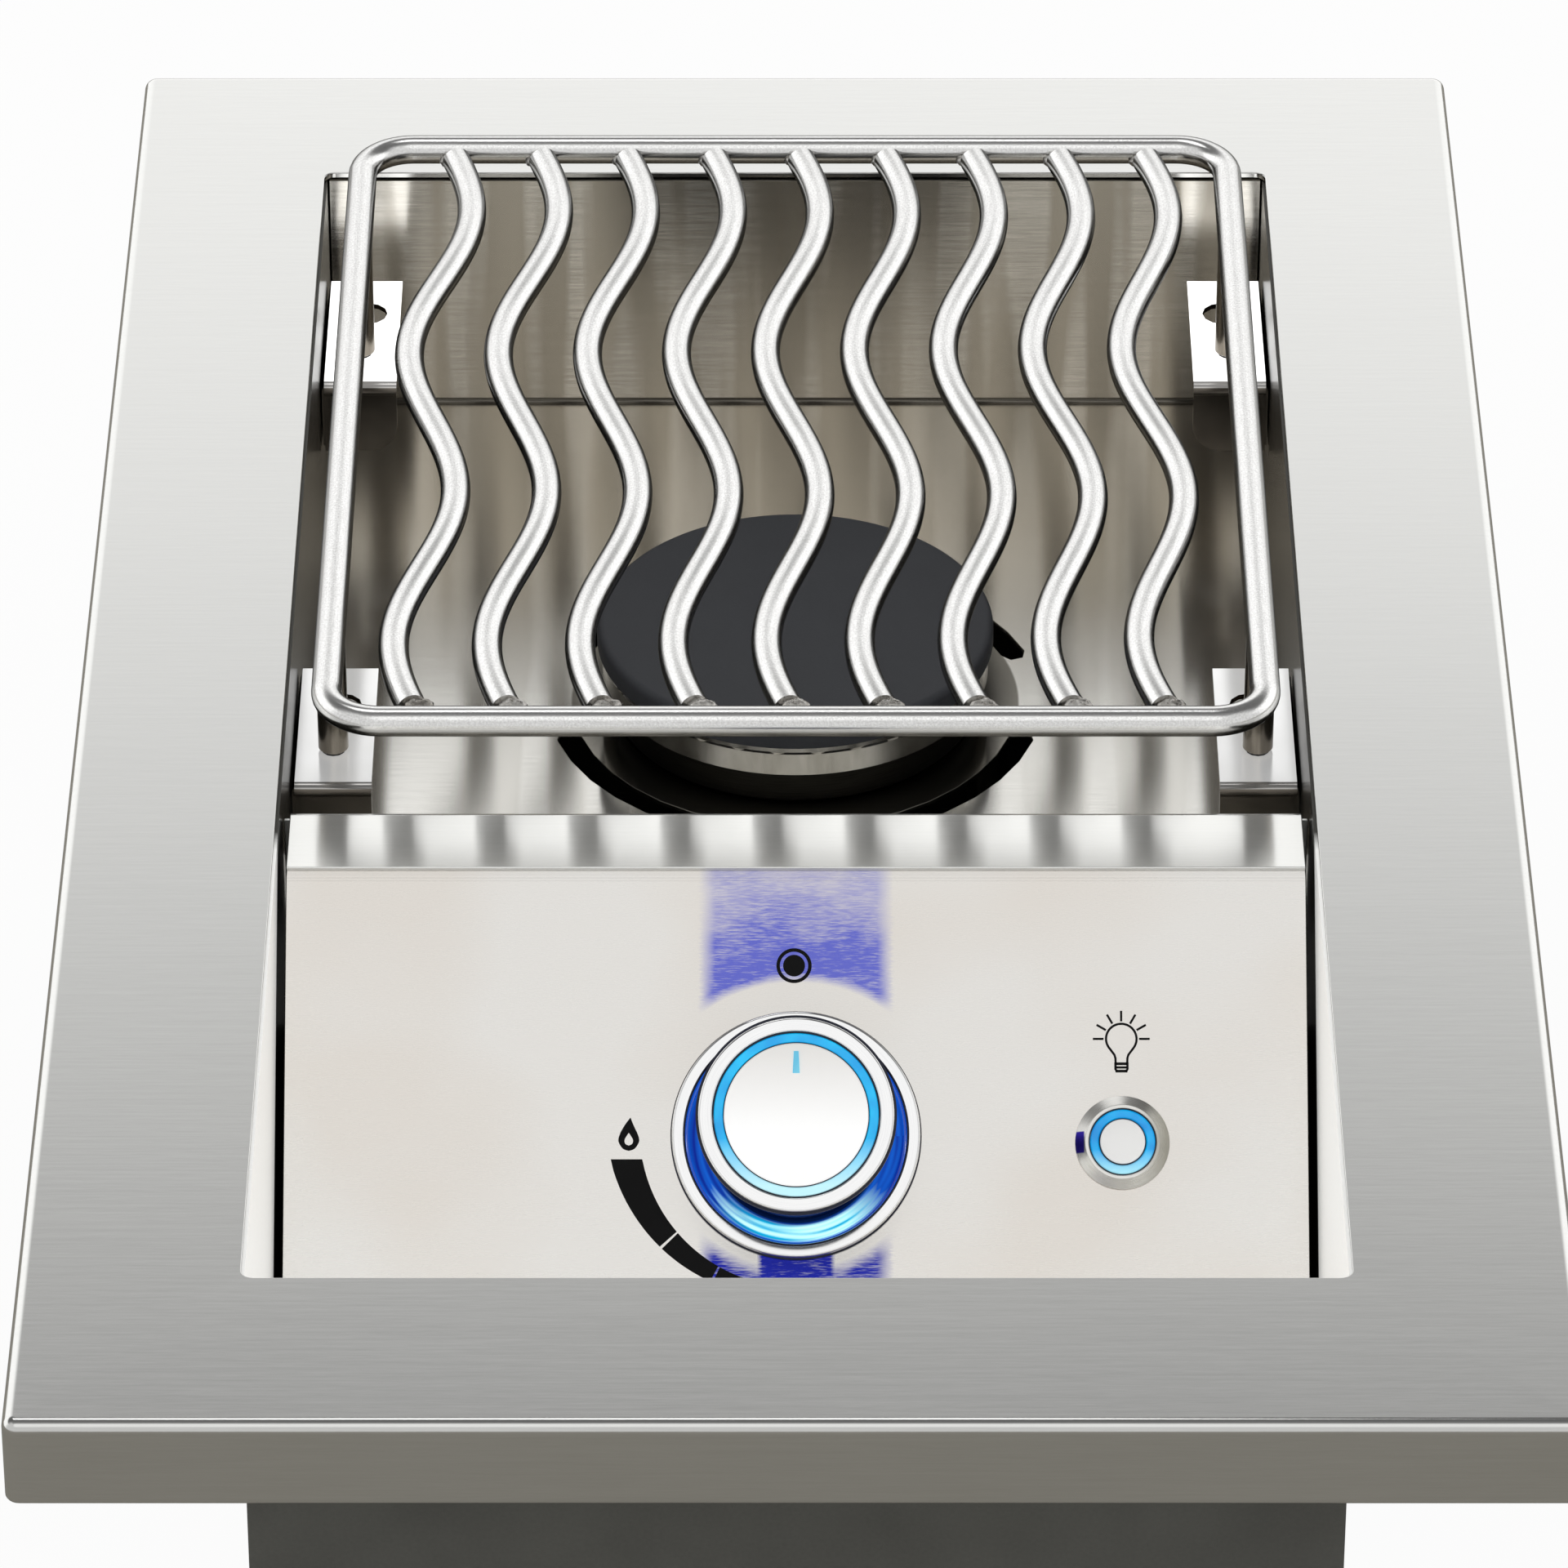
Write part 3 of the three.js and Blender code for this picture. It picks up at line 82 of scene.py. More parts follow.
# Cooking grid
ROD_RADIUS = 4 * MM
GRID_CORNER = 14 * MM
ROD_COUNT = 9
WAVE_HEIGHT = 7.3 * MM
WAVE_LEAN = 0.9 * MM
WAVE_COUNT = 2
ROD_STEPS = 96
ROD_END_GAP = 4.4 * MM
ROD_SIDES = 24
FOOT_CHAMFER = 0.9 * MM
FOOT_TIP = 2.8 * MM
FOOT_PIN = 3 * MM
FOOT_SIDES = 32
WELD_REACH = 3.9 * MM
WELD_RISE = 2.3 * MM
WELD_RINGS = 12
WELD_SIDES = 20
FRONT_WELD_RISE = 1.3 * MM
BACK_WELD_GAP = 4.2 * MM
BACK_WELD_DROP = 1.4 * MM
BACK_WELD_SIZE = 0.75

# Burner
PORT_COUNT = 30
PORT_DEPTH = 0.8 * MM
RING_SIDES = 240
CAP_SIDES = 160

# Control panel
PANEL_TILT = math.radians(45)
PANEL_UNDER_LEDGE = 2.8 * MM
PANEL_BELOW_LEDGE_TOP = 1.5 * MM
KNOB_DROP = 66.4 * MM
BUTTON_SIDE = 82.9 * MM
BUTTON_DROP = 68.3 * MM

# Print in millimetres, and the heat gauge's parts in degrees round the knob
PRINT_RISE = 0.06
CIRCLE_STEPS = 64
GAUGE_PARTS = ((188, 219.3), (220.1, 239.6), (240.4, 266))
GAUGE_START = 188
GAUGE_SPAN = 82
GAUGE_STEPS = 12
GAUGE_RADIUS = 43.5
GAUGE_HALF = 4.0

# Dark rings of painted shade in the gaps round the knob, bezel and button, in millimetres: inner radius,
# outer radius, foot and top
KNOB_SHADE_RINGS = (
    (18.15, 18.32, 32.7, 35.7),
    (20.74, 21.06, 32.7, 35.7),
    (24.3, 25.25, 33.6, 35.4),
)
BEZEL_SHADE_RING = ((31.5, 31.9, 0.1, 0.8),)
BUTTON_SHADE_RINGS = ((5.75, 5.95, 1.3, 2.6), (8.34, 8.56, 1.3, 2.4))

# Plain gas flame in shares of its height: the edges of its tip, and of one side of its hollow foot
FLAME_TIP = (((0.05, 0.5), (-0.12, 0.27), (-0.25, 0.04)), ((0.05, 0.5), (0.14, 0.27), (0.25, 0.04)))
FLAME_FOOT = (
    ((0.25, 0.04), (0.31, -0.2), (0.18, -0.43), (0, -0.5)),
    ((0, 0.04), (0.12, -0.16), (0.1, -0.29), (0, -0.34)),
)

# Where the browner tone, painted shade and painted light show: from the burner's axis, the knob's axis
# and the origin
BROWNING_LENGTH = 90 * MM
DECK_SHADE_INSIDE = 51 * MM
SLOT_EDGE = 61 * MM
SLOT_FADE = 0.6 * MM
SHADE_FADE = 4 * MM
GLOW_HALF = 26.5 * MM
GLOW_START = 42.5 * MM
GLOW_END = 65 * MM
POOL_INSIDE = 23.3 * MM
POOL_OUTSIDE = 27.2 * MM
POOL_FADE = 0.8 * MM
BRACKETS_FRONT = 50 * MM
BRACKETS_BACK = 180 * MM

# Rounds and mesh work
LATHE_SIDES = 128
BUTTON_SIDES = 96
EDGE_STEPS = 5
WELD_GAP = 0.002 * MM
DRESSED_EDGE = 0.25 * MM
DRESSED_CREASE = math.radians(50)
FLAT_ANGLE = math.radians(0.5)
INWARD_SHARE = 0.05

# Places shared by several pieces
trim_low, trim_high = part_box("trim_frame")
wall_low, wall_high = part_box("bowl_front_wall")
pan_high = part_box("bowl_pan")[1]
rail_low, rail_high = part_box("grid_frame")
cap_low, cap_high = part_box("burner_cap")

BURNER = Matrix.Translation(((cap_low.x + cap_high.x) / 2, (cap_low.y + cap_high.y) / 2, 0))
PANEL = Matrix.Translation(
    (0, wall_low.y - PANEL_UNDER_LEDGE, wall_high.z - PANEL_BELOW_LEDGE_TOP)
) @ Matrix.Rotation(PANEL_TILT, 4, "X")
KNOB = PANEL @ Matrix.Translation((0, -KNOB_DROP, 0))
BUTTON = PANEL @ Matrix.Translation((BUTTON_SIDE, -BUTTON_DROP, 0))
CASE_MIDDLE = Vector((0, (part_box("case_front_wall")[0].y + pan_high.y) / 2, 0))


# Shapes

def arc(x, y, radius, first, last, steps=EDGE_STEPS):
    """Points of an arc between two directions in degrees."""
    points = []
    for i in range(steps + 1):
        angle = math.radians(first + (last - first) * i / steps)
        points.append((x + radius * math.cos(angle), y + radius * math.sin(angle)))
    return points


def rectangle_loop(half, front, back, radius, height, steps=6):
    """A rounded rectangle at one height, listed anticlockwise from above."""
    corners = (
        (half, back, 0),
        (-half, back, 90),
        (-half, front, 180),
        (half, front, 270),
    )
    points = []
    for x, y, turn in corners:
        middle_x = x - math.copysign(radius, x)
        middle_y = y - radius if y == back else y + radius
        for place in arc(middle_x, middle_y, radius, turn, turn + 90, steps):
            points.append(Vector((*place, height)))
    return points


def skin(rows, ends_meet=False):
    """Corners and faces of a surface through closed rows of points."""
    count = len(rows[0])
    corners = [point for row in rows for point in row]
    faces = []
    for i in range(len(rows) if ends_meet else len(rows) - 1):
        below = i * count
        above = ((i + 1) % len(rows)) * count
        for k in range(count):
            after = (k + 1) % count
            faces.append((below + k, below + after, above + after, above + k))
    return corners, faces


def measured(rows):
    """How far each row lies from the first, and each point round its row, for surface lines."""
    along = [0.0]
    for before, after in zip(rows, rows[1:]):
        along.append(along[-1] + (after[0] - before[0]).length)
    around = [0.0]
    widest = max(rows, key=lambda row: (row[0] - row[len(row) // 2]).length)
    for before, after in zip(widest, widest[1:] + widest[:1]):
        around.append(around[-1] + (after - before).length)
    return along, around


def lathe(outline, place, sides=LATHE_SIDES):
    """An outline of [radius, height] points turned about the place's own Z."""
    rows = []
    for radius, height in outline:
        row = []
        for k in range(sides):
            angle = FULL_TURN * k / sides
            row.append(place @ Vector((radius * math.cos(angle), radius * math.sin(angle), height)))
        rows.append(row)
    return rows


def sweep(path, radius, sides=ROD_SIDES, closed=False):
    """A round bar through the points of a path that lies level."""
    rows = []
    last = len(path) - 1
    for i, point in enumerate(path):
        before = path[i - 1] if closed or i else point
        after = path[(i + 1) % len(path)] if closed or i < last else point
        along = (after - before).normalized()
        up = Vector((0, 0, 1))
        side = along.cross(up).normalized()
        row = []
        for k in range(sides):
            angle = FULL_TURN * k / sides
            row.append(point + radius * (math.cos(angle) * side + math.sin(angle) * up))
        rows.append(row)
    return rows


def ribbon(place, line, halves, low, high, closed=False, start=None):
    """A flat printed stroke along a line of points in millimetres, with its own half widths.

    Its first end is cut square to the line, or to a start direction.
    """
    rows = []
    last = len(line) - 1
    for i, (x, y) in enumerate(line):
        before = Vector(line[i - 1]) if closed or i else Vector(line[i])
        after = Vector(line[(i + 1) % len(line)]) if closed or i < last else Vector(line[i])
        along = (after - before).normalized()
        if start and i == 0:
            along = Vector(start)
        across = Vector((-along.y, along.x)) * halves[i]
        row = []
        for sign, height in ((1, low), (1, high), (-1, high), (-1, low)):
            row.append(place @ (Vector((x + sign * across.x, y + sign * across.y, height)) * MM))
        rows.append(row)
    return rows


def new_object(name, data):
    """An object in the scene for a mesh, a lamp or a camera."""
    made = bpy.data.objects.new(name, data)
    bpy.context.scene.collection.objects.link(made)
    return made


def shade_smooth(built, crease):
    """Shades faces smooth, with sharp edges where they meet at more than the crease angle."""
    for edge in built.edges:
        if len(edge.link_faces) == 2:
            edge.smooth = edge.calc_face_angle(0) < crease
    for face in built.faces:
        face.smooth = True


def keep_flats(made):
    """Shades big flat faces flat and lets the small rounds beside them turn the light."""
    weighted = made.modifiers.new("flat faces stay flat", "WEIGHTED_NORMAL")
    weighted.keep_sharp = True


def piece(name, surfaces, body, finishes, stands_for, crease=38):
    """One object from surfaces of (rows, ends meet, ends capped, finish number)."""
    built = bmesh.new()
    lines = built.loops.layers.uv.new("lines")
    for rows, ends_meet, capped, number in surfaces:
        corners, faces = skin(rows, ends_meet=ends_meet)
        along, around = measured(rows)
        count = len(rows[0])
        points = [built.verts.new(corner) for corner in corners]
        for face in faces:
            made = built.faces.new([points[i] for i in face])
            made.material_index = number
            row = face[0] // count
            step = face[0] % count
            near = along[row]
            far = near + (rows[(row + 1) % len(rows)][0] - rows[row][0]).length
            left, right = around[step], around[step + 1]
            for loop, spot in zip(made.loops, ((near, left), (near, right), (far, right), (far, left))):
                loop[lines].uv = spot
        if capped:
            for end in (points[:count], points[-count:]):
                made = built.faces.new(end)
                made.material_index = number
    bmesh.ops.remove_doubles(built, verts=built.verts, dist=WELD_GAP)
    bmesh.ops.recalc_face_normals(built, faces=built.faces)
    shade_smooth(built, math.radians(crease))
    mesh = bpy.data.meshes.new(name)
    built.to_mesh(mesh)
    built.free()
    for surface in finishes:
        mesh.materials.append(surface)
    made = new_object(name, mesh)
    keep_flats(made)
    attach(made, body)
    if stands_for:
        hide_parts(*stands_for)


def dressed(node, outside, inside=None):
    """A welded copy of a CAD piece with eased edges that catch the light.

    An inside finish goes on the faces that look towards the middle of the case. The slotted
    sheets of the case have it, and keep their sheared edges.
    """
    source = frame["nodes"][node]
    built = bmesh.new()
    built.from_mesh(source.data)
    bmesh.ops.remove_doubles(built, verts=built.verts, dist=WELD_GAP)
    if not inside:
        bmesh.ops.dissolve_limit(built, angle_limit=FLAT_ANGLE, verts=built.verts, edges=built.edges)
    built.verts.ensure_lookup_table()
    corners = [vertex.co.copy() for vertex in built.verts]
    faces = [[vertex.index for vertex in face.verts] for face in built.faces]
    built.free()
    mesh = bpy.data.meshes.new(node + "_surface")
    mesh.from_pydata(corners, [], faces)
    checked = bmesh.new()
    checked.from_mesh(mesh)
    shade_smooth(checked, DRESSED_CREASE)
    if inside:
        for face in checked.faces:
            toward = (face.calc_center_median() - CASE_MIDDLE).xy
            inward = face.normal.xy.dot(toward) < -INWARD_SHARE * toward.length
            face.material_index = int(face.normal.z > 0.5 or inward)
    checked.to_mesh(mesh)
    checked.free()
    mesh.materials.append(outside)
    if inside:
        mesh.materials.append(inside)
    made = new_object(node + "_surface", mesh)
    if not inside:
        eased = made.modifiers.new("eased edges", "BEVEL")
        eased.width = DRESSED_EDGE
        eased.segments = 2
        eased.limit_method = "ANGLE"
        eased.angle_limit = DRESSED_CREASE
        eased.use_clamp_overlap = True
    keep_flats(made)
    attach(made, source["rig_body"])
    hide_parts(node)


def turned(name, outline, place, body, surface, node, ring=True, sides=LATHE_SIDES, crease=38):
    """A turned piece: a ring with a closed outline, or a solid whose outline ends on the axis."""
    rows = lathe(outline, place, sides)
    piece(name, [(rows, ring, False, 0)], body, [surface], [node], crease)


# Finishes

def linear(text):
    """An sRGB colour such as #c9c9c5 as linear light."""
    values = []
    for i in (1, 3, 5):
        share = int(text[i:i + 2], 16) / 255
        values.append(share / 12.92 if share <= 0.04045 else ((share + 0.055) / 1.055) ** 2.4)
    return (*values, 1)


def add(tree, kind, inputs=None, **settings):
    """A node with its settings, and its inputs given as values or linked outputs."""
    made = tree.nodes.new("ShaderNode" + kind)
    for key, value in settings.items():
        setattr(made, key, value)
    for socket, value in (inputs or {}).items():
        if isinstance(value, bpy.types.NodeSocket):
            tree.links.new(value, made.inputs[socket])
        else:
            made.inputs[socket].default_value = value
    return made


def new_finish(name, **shader):
    """A material with its Principled shader and the output it feeds."""
    made = bpy.data.materials.new(name)
    made.use_nodes = True
    tree = made.node_tree
    tree.nodes.clear()
    inputs = {key.replace("_", " "): value for key, value in shader.items()}
    surface = add(tree, "BsdfPrincipled", inputs)
    add(tree, "OutputMaterial", {"Surface": surface.outputs["BSDF"]})
    return made, tree, surface


def sized_noise(tree, space, scales, detail=3.0, roughness=0.6):
    """Noise whose cells have the given sizes in millimetres along each axis of a space."""
    mapped = add(
        tree,
        "Mapping",
        {"Vector": space, "Scale": [1 / (size * MM) for size in scales]},
    )
    noise = add(
        tree,
        "TexNoise",
        {"Vector": mapped.outputs["Vector"], "Scale": 1.0, "Detail": detail, "Roughness": roughness},
    )
    return noise.outputs["Fac"]


def toned(tree, value, first_colour, last_colour, first=0.3, last=0.7):
    """A colour that runs between two sRGB colours as a value runs between two numbers."""
    share = add(
        tree, "MapRange", {"Value": value, "From Min": first, "From Max": last}
    ).outputs["Result"]
    return add(
        tree, "Mix", {0: share, 6: linear(first_colour), 7: linear(last_colour)}, data_type="RGBA"
    ).outputs[2]


def upward(tree):
    """How far a face looks up: 1 on top, 0 on an upright side and -1 underneath."""
    return add(
        tree, "SeparateXYZ", {"Vector": add(tree, "NewGeometry").outputs["True Normal"]}
    ).outputs["Z"]


def feed(tree, surface, **values):
    """Links patterns to a surface's inputs."""
    for key, value in values.items():
        tree.links.new(value, surface.inputs[key.replace("_", " ")])


def raised(tree, surface, height, depth):
    """Raises a surface's grain by a pattern, to a depth in millimetres."""
    relief = add(tree, "Bump", {"Strength": 1.0, "Distance": depth * MM, "Height": height})
    feed(tree, surface, Normal=relief.outputs["Normal"])


def lit_by(tree, surface, tone):
    """Gives a surface one colour for its own light and for the light that falls on it."""
    feed(tree, surface, Base_Color=tone, Emission_Color=tone)


def grained(name, colour, shade, rough, swing, metallic, cell, relief_depth, **more):
    """A cast, moulded or coated surface with an even fine grain."""
    made, tree, surface = new_finish(name, Metallic=metallic, **more)
    space = add(tree, "TexCoord").outputs["Object"]
    grain = sized_noise(tree, space, (cell, cell, cell), detail=4.0, roughness=0.65)
    broad_cell = cell * 25
    cloud = sized_noise(tree, space, (broad_cell, broad_cell, broad_cell), detail=2.0)
    both = add(tree, "Mix", {0: 0.5, 6: grain, 7: cloud}, data_type="RGBA").outputs[2]
    feed(tree, surface, Base_Color=toned(tree, both, shade, colour, 0.35, 0.65))
    sheen = add(
        tree,
        "MapRange",
        {
            "Value": both,
            "From Min": 0.35,
            "From Max": 0.65,
            "To Min": rough - swing,
            "To Max": rough + swing,
        },
    ).outputs["Result"]
    feed(tree, surface, Roughness=sheen)
    raised(tree, surface, grain, relief_depth)
    return made


def local_spot(tree, space, place):
    """X, Y and Z on a place's own axes."""
    local = add(
        tree,
        "Mapping",
        {"Vector": space, "Location": place.translation, "Rotation": place.to_euler()},
        vector_type="TEXTURE",
    )
    return add(tree, "SeparateXYZ", {"Vector": local.outputs["Vector"]}).outputs


def reach_from(tree, spot):
    """How far a spot lies from its place's Z axis."""
    flat = add(tree, "CombineXYZ", {"X": spot["X"], "Y": spot["Y"]})
    return add(tree, "VectorMath", {0: flat.outputs[0]}, operation="LENGTH").outputs["Value"]


def brushed_sheet(
    name, colour, shade, rough, rough_swing, line, lift, clouds=None, anisotropy=0.5, metallic=1.0
):
    """Sheet steel drawn through a belt grinder: long fine scratches along one axis."""
    made, tree, surface = new_finish(name, Metallic=metallic, Anisotropic=anisotropy)
    space = add(tree, "TexCoord").outputs["Object"]
    fine = sized_noise(tree, space, line, detail=4.0)
    broad = sized_noise(tree, space, [size * 6 for size in line], detail=2.0)
    scratches = add(tree, "Mix", {0: 0.35, 6: fine, 7: broad}, data_type="RGBA").outputs[2]
    tone = toned(tree, scratches, shade, colour)
    if clouds:
        patches = sized_noise(tree, space, (70, 60, 60), detail=1.5, roughness=0.5)
        cloudy = add(
            tree, "MapRange", {"Value": patches, "From Min": 0.42, "From Max": 0.62}
        ).outputs["Result"]
        tone = add(
            tree,
            "Mix",
            {0: cloudy, 6: tone, 7: linear(clouds)},
            data_type="RGBA",
            blend_type="MULTIPLY",
        ).outputs[2]
    feed(tree, surface, Base_Color=tone)
    sheen = add(
        tree,
        "MapRange",
        {
            "Value": scratches,
            "From Min": 0.3,
            "From Max": 0.7,
            "To Min": rough - rough_swing,
            "To Max": rough + rough_swing,
        },
    ).outputs["Result"]
    feed(tree, surface, Roughness=sheen)
    raised(tree, surface, scratches, lift)
    facing = add(tree, "NewGeometry").outputs["True Normal"]
    across = add(
        tree, "VectorMath", {0: facing, 1: (1.0, 0.02, 0.0)}, operation="CROSS_PRODUCT"
    ).outputs["Vector"]
    feed(tree, surface, Tangent=across)
    return made, tree, surface, tone


def lean_back(tree, surface, slope):
    """Leans a sheet's normals to the back by a slope, as on a pan pressed slightly hollow."""
    normal = surface.inputs["Normal"].links[0].from_socket
    tilt = add(tree, "CombineXYZ", {"Y": slope}).outputs[0]
    whole = add(
        tree,
        "VectorMath",
        {0: add(tree, "VectorMath", {0: normal, 1: tilt}, operation="ADD").outputs["Vector"]},
        operation="NORMALIZE",
    ).outputs["Vector"]
    feed(tree, surface, Normal=whole)


# Cold-rolled stainless sheet, belt brushed along its width: soft grey with hair-fine lines.
trim_steel = brushed_sheet(
    "belt_brushed_stainless", "#e0e0de", "#d6d6d4", 0.15, 0.02, (9, 0.16, 0.16), 0.0006
)[0]


def bowl_finish():
    """Fine brushed steel, soft upright streaks in it, with painted shade inside the burner's slots."""
    made, tree, surface, tone = brushed_sheet(
        "fine_brushed_stainless", "#fcf9f2", "#cfcac0", 0.21, 0.03, (7, 0.16, 0.16), 0.0006,
        anisotropy=0.95,
    )
    space = add(tree, "TexCoord").outputs["Object"]
    rise = upward(tree)
    level = add(tree, "MapRange", {"Value": rise, "From Min": 0.9, "From Max": 0.97}).outputs["Result"]
    streaks = sized_noise(tree, space, (13, 300, 170), detail=1.5)
    tone = add(
        tree,
        "Mix",
        {
            0: add(
                tree, "MapRange", {"Value": streaks, "From Min": 0.45, "From Max": 0.55}
            ).outputs["Result"],
            6: linear("#c9c3b7"),
            7: tone,
        },
        data_type="RGBA",
    ).outputs[2]
    # The level pan is paler, and turns browner from the burner's middle to its back.
    forward = add(tree, "SeparateXYZ", {"Vector": space}).outputs["Y"]
    browner = add(
        tree,
        "MapRange",
        {
            "Value": forward,
            "From Min": BURNER.translation.y,
            "From Max": BURNER.translation.y + BROWNING_LENGTH,
        },
    ).outputs["Result"]
    pale = add(tree, "Mix", {0: 0.6, 6: tone, 7: linear("#f4f4f1")}, data_type="RGBA").outputs[2]
    tone = add(
        tree,
        "Mix",
        {
            0: level,
            6: tone,
            7: add(
                tree, "Mix", {0: browner, 6: pale, 7: linear("#d6d0c5")}, data_type="RGBA"
            ).outputs[2],
        },
        data_type="RGBA",
    ).outputs[2]
    # The bends between the upright and the level sheet are darker.
    bend = add(
        tree,
        "Math",
        {
            0: add(
                tree, "MapRange", {"Value": rise, "From Min": 0.15, "From Max": 0.25}
            ).outputs["Result"],
            1: add(
                tree,
                "MapRange",
                {"Value": rise, "From Min": 0.93, "From Max": 0.97, "To Min": 1.0, "To Max": 0.0},
            ).outputs["Result"],
        },
        operation="MULTIPLY",
    ).outputs[0]
    tone = add(tree, "Mix", {0: bend, 6: tone, 7: linear("#6b675f")}, data_type="RGBA").outputs[2]
    # Inside the slots' outer edge the pan gets painted shade, darkest beside the pot.
    reach = reach_from(tree, local_spot(tree, space, BURNER))
    painted_deck_shade = toned(tree, reach, "#1f1e1b", "#8d8a82", DECK_SHADE_INSIDE, SLOT_EDGE + MM)
    tone = add(
        tree,
        "Mix",
        {
            0: add(
                tree,
                "MapRange",
                {
                    "Value": reach,
                    "From Min": SLOT_EDGE,
                    "From Max": SLOT_EDGE + SLOT_FADE,
                    "To Min": 1.0,
                    "To Max": 0.0,
                },
            ).outputs["Result"],
            6: tone,
            7: painted_deck_shade,
        },
        data_type="RGBA",
    ).outputs[2]
    feed(tree, surface, Base_Color=tone)
    rough = surface.inputs["Roughness"].links[0].from_socket
    feed(
        tree,
        surface,
        Roughness=add(tree, "Mix", {0: level, 2: rough, 3: 0.15}, data_type="FLOAT").outputs[0],
    )
    feed(
        tree,
        surface,
        Metallic=add(tree, "Mix", {0: level, 2: 1.0, 3: 0.95}, data_type="FLOAT").outputs[0],
    )
    slope = add(
        tree,
        "MapRange",
        {
            "Value": forward,
            "From Min": wall_high.y,
            "From Max": pan_high.y,
            "To Min": 0.05,
            "To Max": -0.01,
        },
    ).outputs["Result"]
    lean_back(
        tree, surface, add(tree, "Mix", {0: level, 2: 0.0, 3: slope}, data_type="FLOAT").outputs[0]
    )
    return made


bowl_steel = bowl_finish()


def ledge_finish():
    """The brightest sheet, with little grain: it mirrors the rods above it in soft bands."""
    made, tree, surface, _ = brushed_sheet(
        "bright_rolled_stainless", "#f9f9f6", "#efefec", 0.17, 0.03, (6, 0.12, 0.12), 0.0003,
        anisotropy=0.93, metallic=0.7,
    )
    lean_back(tree, surface, 0.115)
    return made


ledge_steel = ledge_finish()


def wall_finish():
    """The bare inside of the case: bright with a painted glow in the well, with painted shade beside the
    bowl and under the panel's edge.
    """
    made, tree, surface, tone = brushed_sheet(
        "bare_case_stainless", "#fdfdfb", "#f6f6f4", 0.25, 0.03, (6, 0.14, 0.14), 0.0003, anisotropy=0.6
    )
    space = add(tree, "TexCoord").outputs["Object"]
    forward = add(tree, "SeparateXYZ", {"Vector": space}).outputs["Y"]
    # Painted shade on the wall beside the bowl, behind the ledge.
    behind = add(
        tree,
        "MapRange",
        {"Value": forward, "From Min": wall_low.y - SHADE_FADE, "From Max": wall_low.y + SHADE_FADE},
    ).outputs["Result"]
    # Painted shade just under the panel's edge.
    above_panel = local_spot(tree, space, PANEL)["Z"]
    under = add(
        tree,
        "MapRange",
        {"Value": above_panel, "From Min": SHEET, "From Max": SHADE_FADE, "To Min": 1.0, "To Max": 0.0},
    ).outputs["Result"]
    behind = add(tree, "Math", {0: behind, 1: under}, operation="MAXIMUM").outputs[0]
    feed(
        tree,
        surface,
        Base_Color=add(
            tree, "Mix", {0: behind, 6: tone, 7: linear("#403f3b")}, data_type="RGBA"
        ).outputs[2],
    )
    feed(
        tree,
        surface,
        Metallic=add(tree, "Mix", {0: behind, 2: 0.45, 3: 0.9}, data_type="FLOAT").outputs[0],
    )
    # A painted glow brightens the wall in the well.
    surface.inputs["Emission Color"].default_value = linear("#fdfdfb")
    feed(
        tree,
        surface,
        Emission_Strength=add(tree, "Mix", {0: behind, 2: 0.25, 3: 0.0}, data_type="FLOAT").outputs[0],
    )
    return made


wall_steel = wall_finish()


